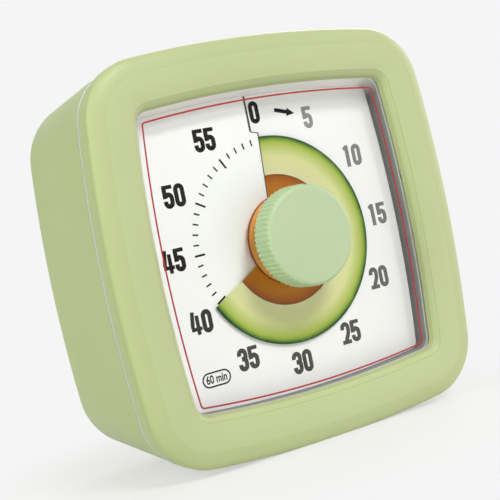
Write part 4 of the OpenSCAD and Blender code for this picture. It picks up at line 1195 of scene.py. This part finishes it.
# ---- case screws ----
# Four pan-head screws of zinc-plated steel, cold-headed with a cross slot. They stand in deep
# wells from the back and hold the two halves of the case together.
screw = bevelled(rod(2.2, head_seat - 1.6, head_seat, sides=48), "EDGE",
                 lambda place, along: abs(along.z) < 0.1 and place.z < head_seat - 1.5, 0.7, 5)
shank = rod(1.1, head_seat - 0.5, -4.2, sides=32)
combine(screw, bevelled(shank, "FACE", facing_front, 0.4, 2), "UNION")
for turn in (0, 90):
    slot_cut = block(-1.25, 1.25, -0.27, 0.27, head_seat - 2, head_seat - 0.75)
    mark(slot_cut, "FACE", facing_front)
    bpy.ops.transform.resize(value=(0.55, 0.6, 1))
    combine(screw, placed(done(), (0, 0, 0), (0, 0, math.radians(turn))))
screws = join([placed(copied(screw), (x, y, 0)) for x, y in screw_places])
bpy.data.objects.remove(screw)
wear(screws, zinc_screw)
stand_up(screws, "case_screws_pan_head", "case", "steel", "case_screws")


# ---- studio ----
# A pale floor and backdrop of one colour, a large soft lamp above and in front with four weaker
# ones around, and the camera to the left of the dial, tilted so that the timer leans in the frame.
backdrop = linear("#f5f5f5")
world = bpy.data.worlds.new("studio")
bpy.context.scene.world = world
world.use_nodes = True
world.node_tree.nodes.clear()


def looked_at(material):
    """1 for rays that show the backdrop: to the eye, off a shiny face or through something clear."""
    ray = add(material, "ShaderNodeLightPath")
    mirrored = add(material, "ShaderNodeMath", operation="MAXIMUM",
                   links={0: ray.outputs["Is Glossy Ray"], 1: ray.outputs["Is Transmission Ray"]})
    return add(material, "ShaderNodeMath", operation="MAXIMUM",
               links={0: ray.outputs["Is Camera Ray"], 1: mirrored})


room = add(world, "ShaderNodeBackground", {"Color": linear("#ffffff"), "Strength": 0.24})
paper = add(world, "ShaderNodeBackground", {"Color": backdrop, "Strength": 1.0})
mix = add(world, "ShaderNodeMixShader", links={"Fac": looked_at(world), 1: room, 2: paper})
add(world, "ShaderNodeOutputWorld", links={"Surface": mix})

floor_half = 0.45
floor_gap = 0.1 * mm
bpy.ops.object.select_all(action="DESELECT")
bpy.ops.mesh.primitive_plane_add(size=2 * floor_half, location=(0, 0, -floor_gap))
floor = done()
floor.name = "studio_floor"
floor_paper = new_material("paper_matt_white")
place = add(floor_paper, "ShaderNodeTexCoord").outputs["Object"]
reach = add(floor_paper, "ShaderNodeVectorMath", links={0: place}, operation="LENGTH")
away = add(floor_paper, "ShaderNodeMapRange", {"From Min": 0.02, "From Max": 0.075, "To Min": 0.6},
           {"Value": reach}, interpolation_type="SMOOTHSTEP")
fade = add(floor_paper, "ShaderNodeMath", links={0: away, 1: looked_at(floor_paper)}, operation="MULTIPLY")
fibre_relief = grained(floor_paper, place, 0.6, 0.02, 0.1)[1]
near_paper = add(floor_paper, "ShaderNodeBsdfDiffuse", {"Color": linear("#f0f0f0")}, {"Normal": fibre_relief})
far_paper = add(floor_paper, "ShaderNodeEmission", {"Color": backdrop, "Strength": 1.0})
mix = add(floor_paper, "ShaderNodeMixShader", links={"Fac": fade, 1: near_paper, 2: far_paper})
add(floor_paper, "ShaderNodeOutputMaterial", links={"Surface": mix})
wear(floor, floor_paper)
floor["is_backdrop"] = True

middle = Vector((0, 0, axis_height))


def lamp(name, turn, rise, away, size, power, tint="#ffffff"):
    """A round soft lamp aimed at the timer, to the right of its front by turn and above by rise."""
    turn, rise = math.radians(turn), math.radians(rise)
    back = Vector((math.sin(turn) * math.cos(rise), -math.cos(turn) * math.cos(rise), math.sin(rise)))
    bpy.ops.object.select_all(action="DESELECT")
    bpy.ops.object.light_add(type="AREA", location=middle + back * away)
    light = bpy.context.object
    light.name = name
    light.data.shape = "DISK"
    light.data.size = size
    light.data.energy = power
    light.data.color = linear(tint)[:3]
    light.rotation_mode = "QUATERNION"
    light.rotation_quaternion = (-back).to_track_quat("-Z", "Y")
    return light


# Degrees to the right and up, metres away and across, and watts
lamp("key_lamp", 6, 42, 1.4, 0.5, 10.4)
lamp("fill_lamp", -20, -14, 1.0, 0.7, 2.1)
lamp("left_lamp", -84, 24, 0.6, 0.4, 1.6, "#f6ffdc")
lamp("right_lamp", 82, 15, 0.6, 0.4, 0.9)
lamp("back_lamp", 125, 32, 1.2, 0.6, 4.6)

# A long lens a quarter of a metre away, so that the case tapers only a little in the view
bpy.ops.object.select_all(action="DESELECT")
bpy.ops.object.camera_add(location=(-136.8 * mm, dial_depth - 207.5 * mm, axis_height + 7.2 * mm))
camera = bpy.context.object
ahead = Vector((0.528597, 0.848119, -0.035760)).normalized()
up = Vector((0.191309, -0.077980, 0.978427))
right = ahead.cross(up).normalized()
up = right.cross(ahead)
camera.rotation_mode = "QUATERNION"
camera.rotation_quaternion = Matrix((right, up, -ahead)).transposed().to_quaternion()
camera.data.sensor_width = 36
camera.data.lens = 91.7
camera.data.shift_x = 0
camera.data.shift_y = 0.0092
camera.data.clip_start = 0.01
camera.data.clip_end = 20
bpy.context.scene.camera = camera
bpy.context.scene.view_settings.view_transform = "Standard"

low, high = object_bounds()
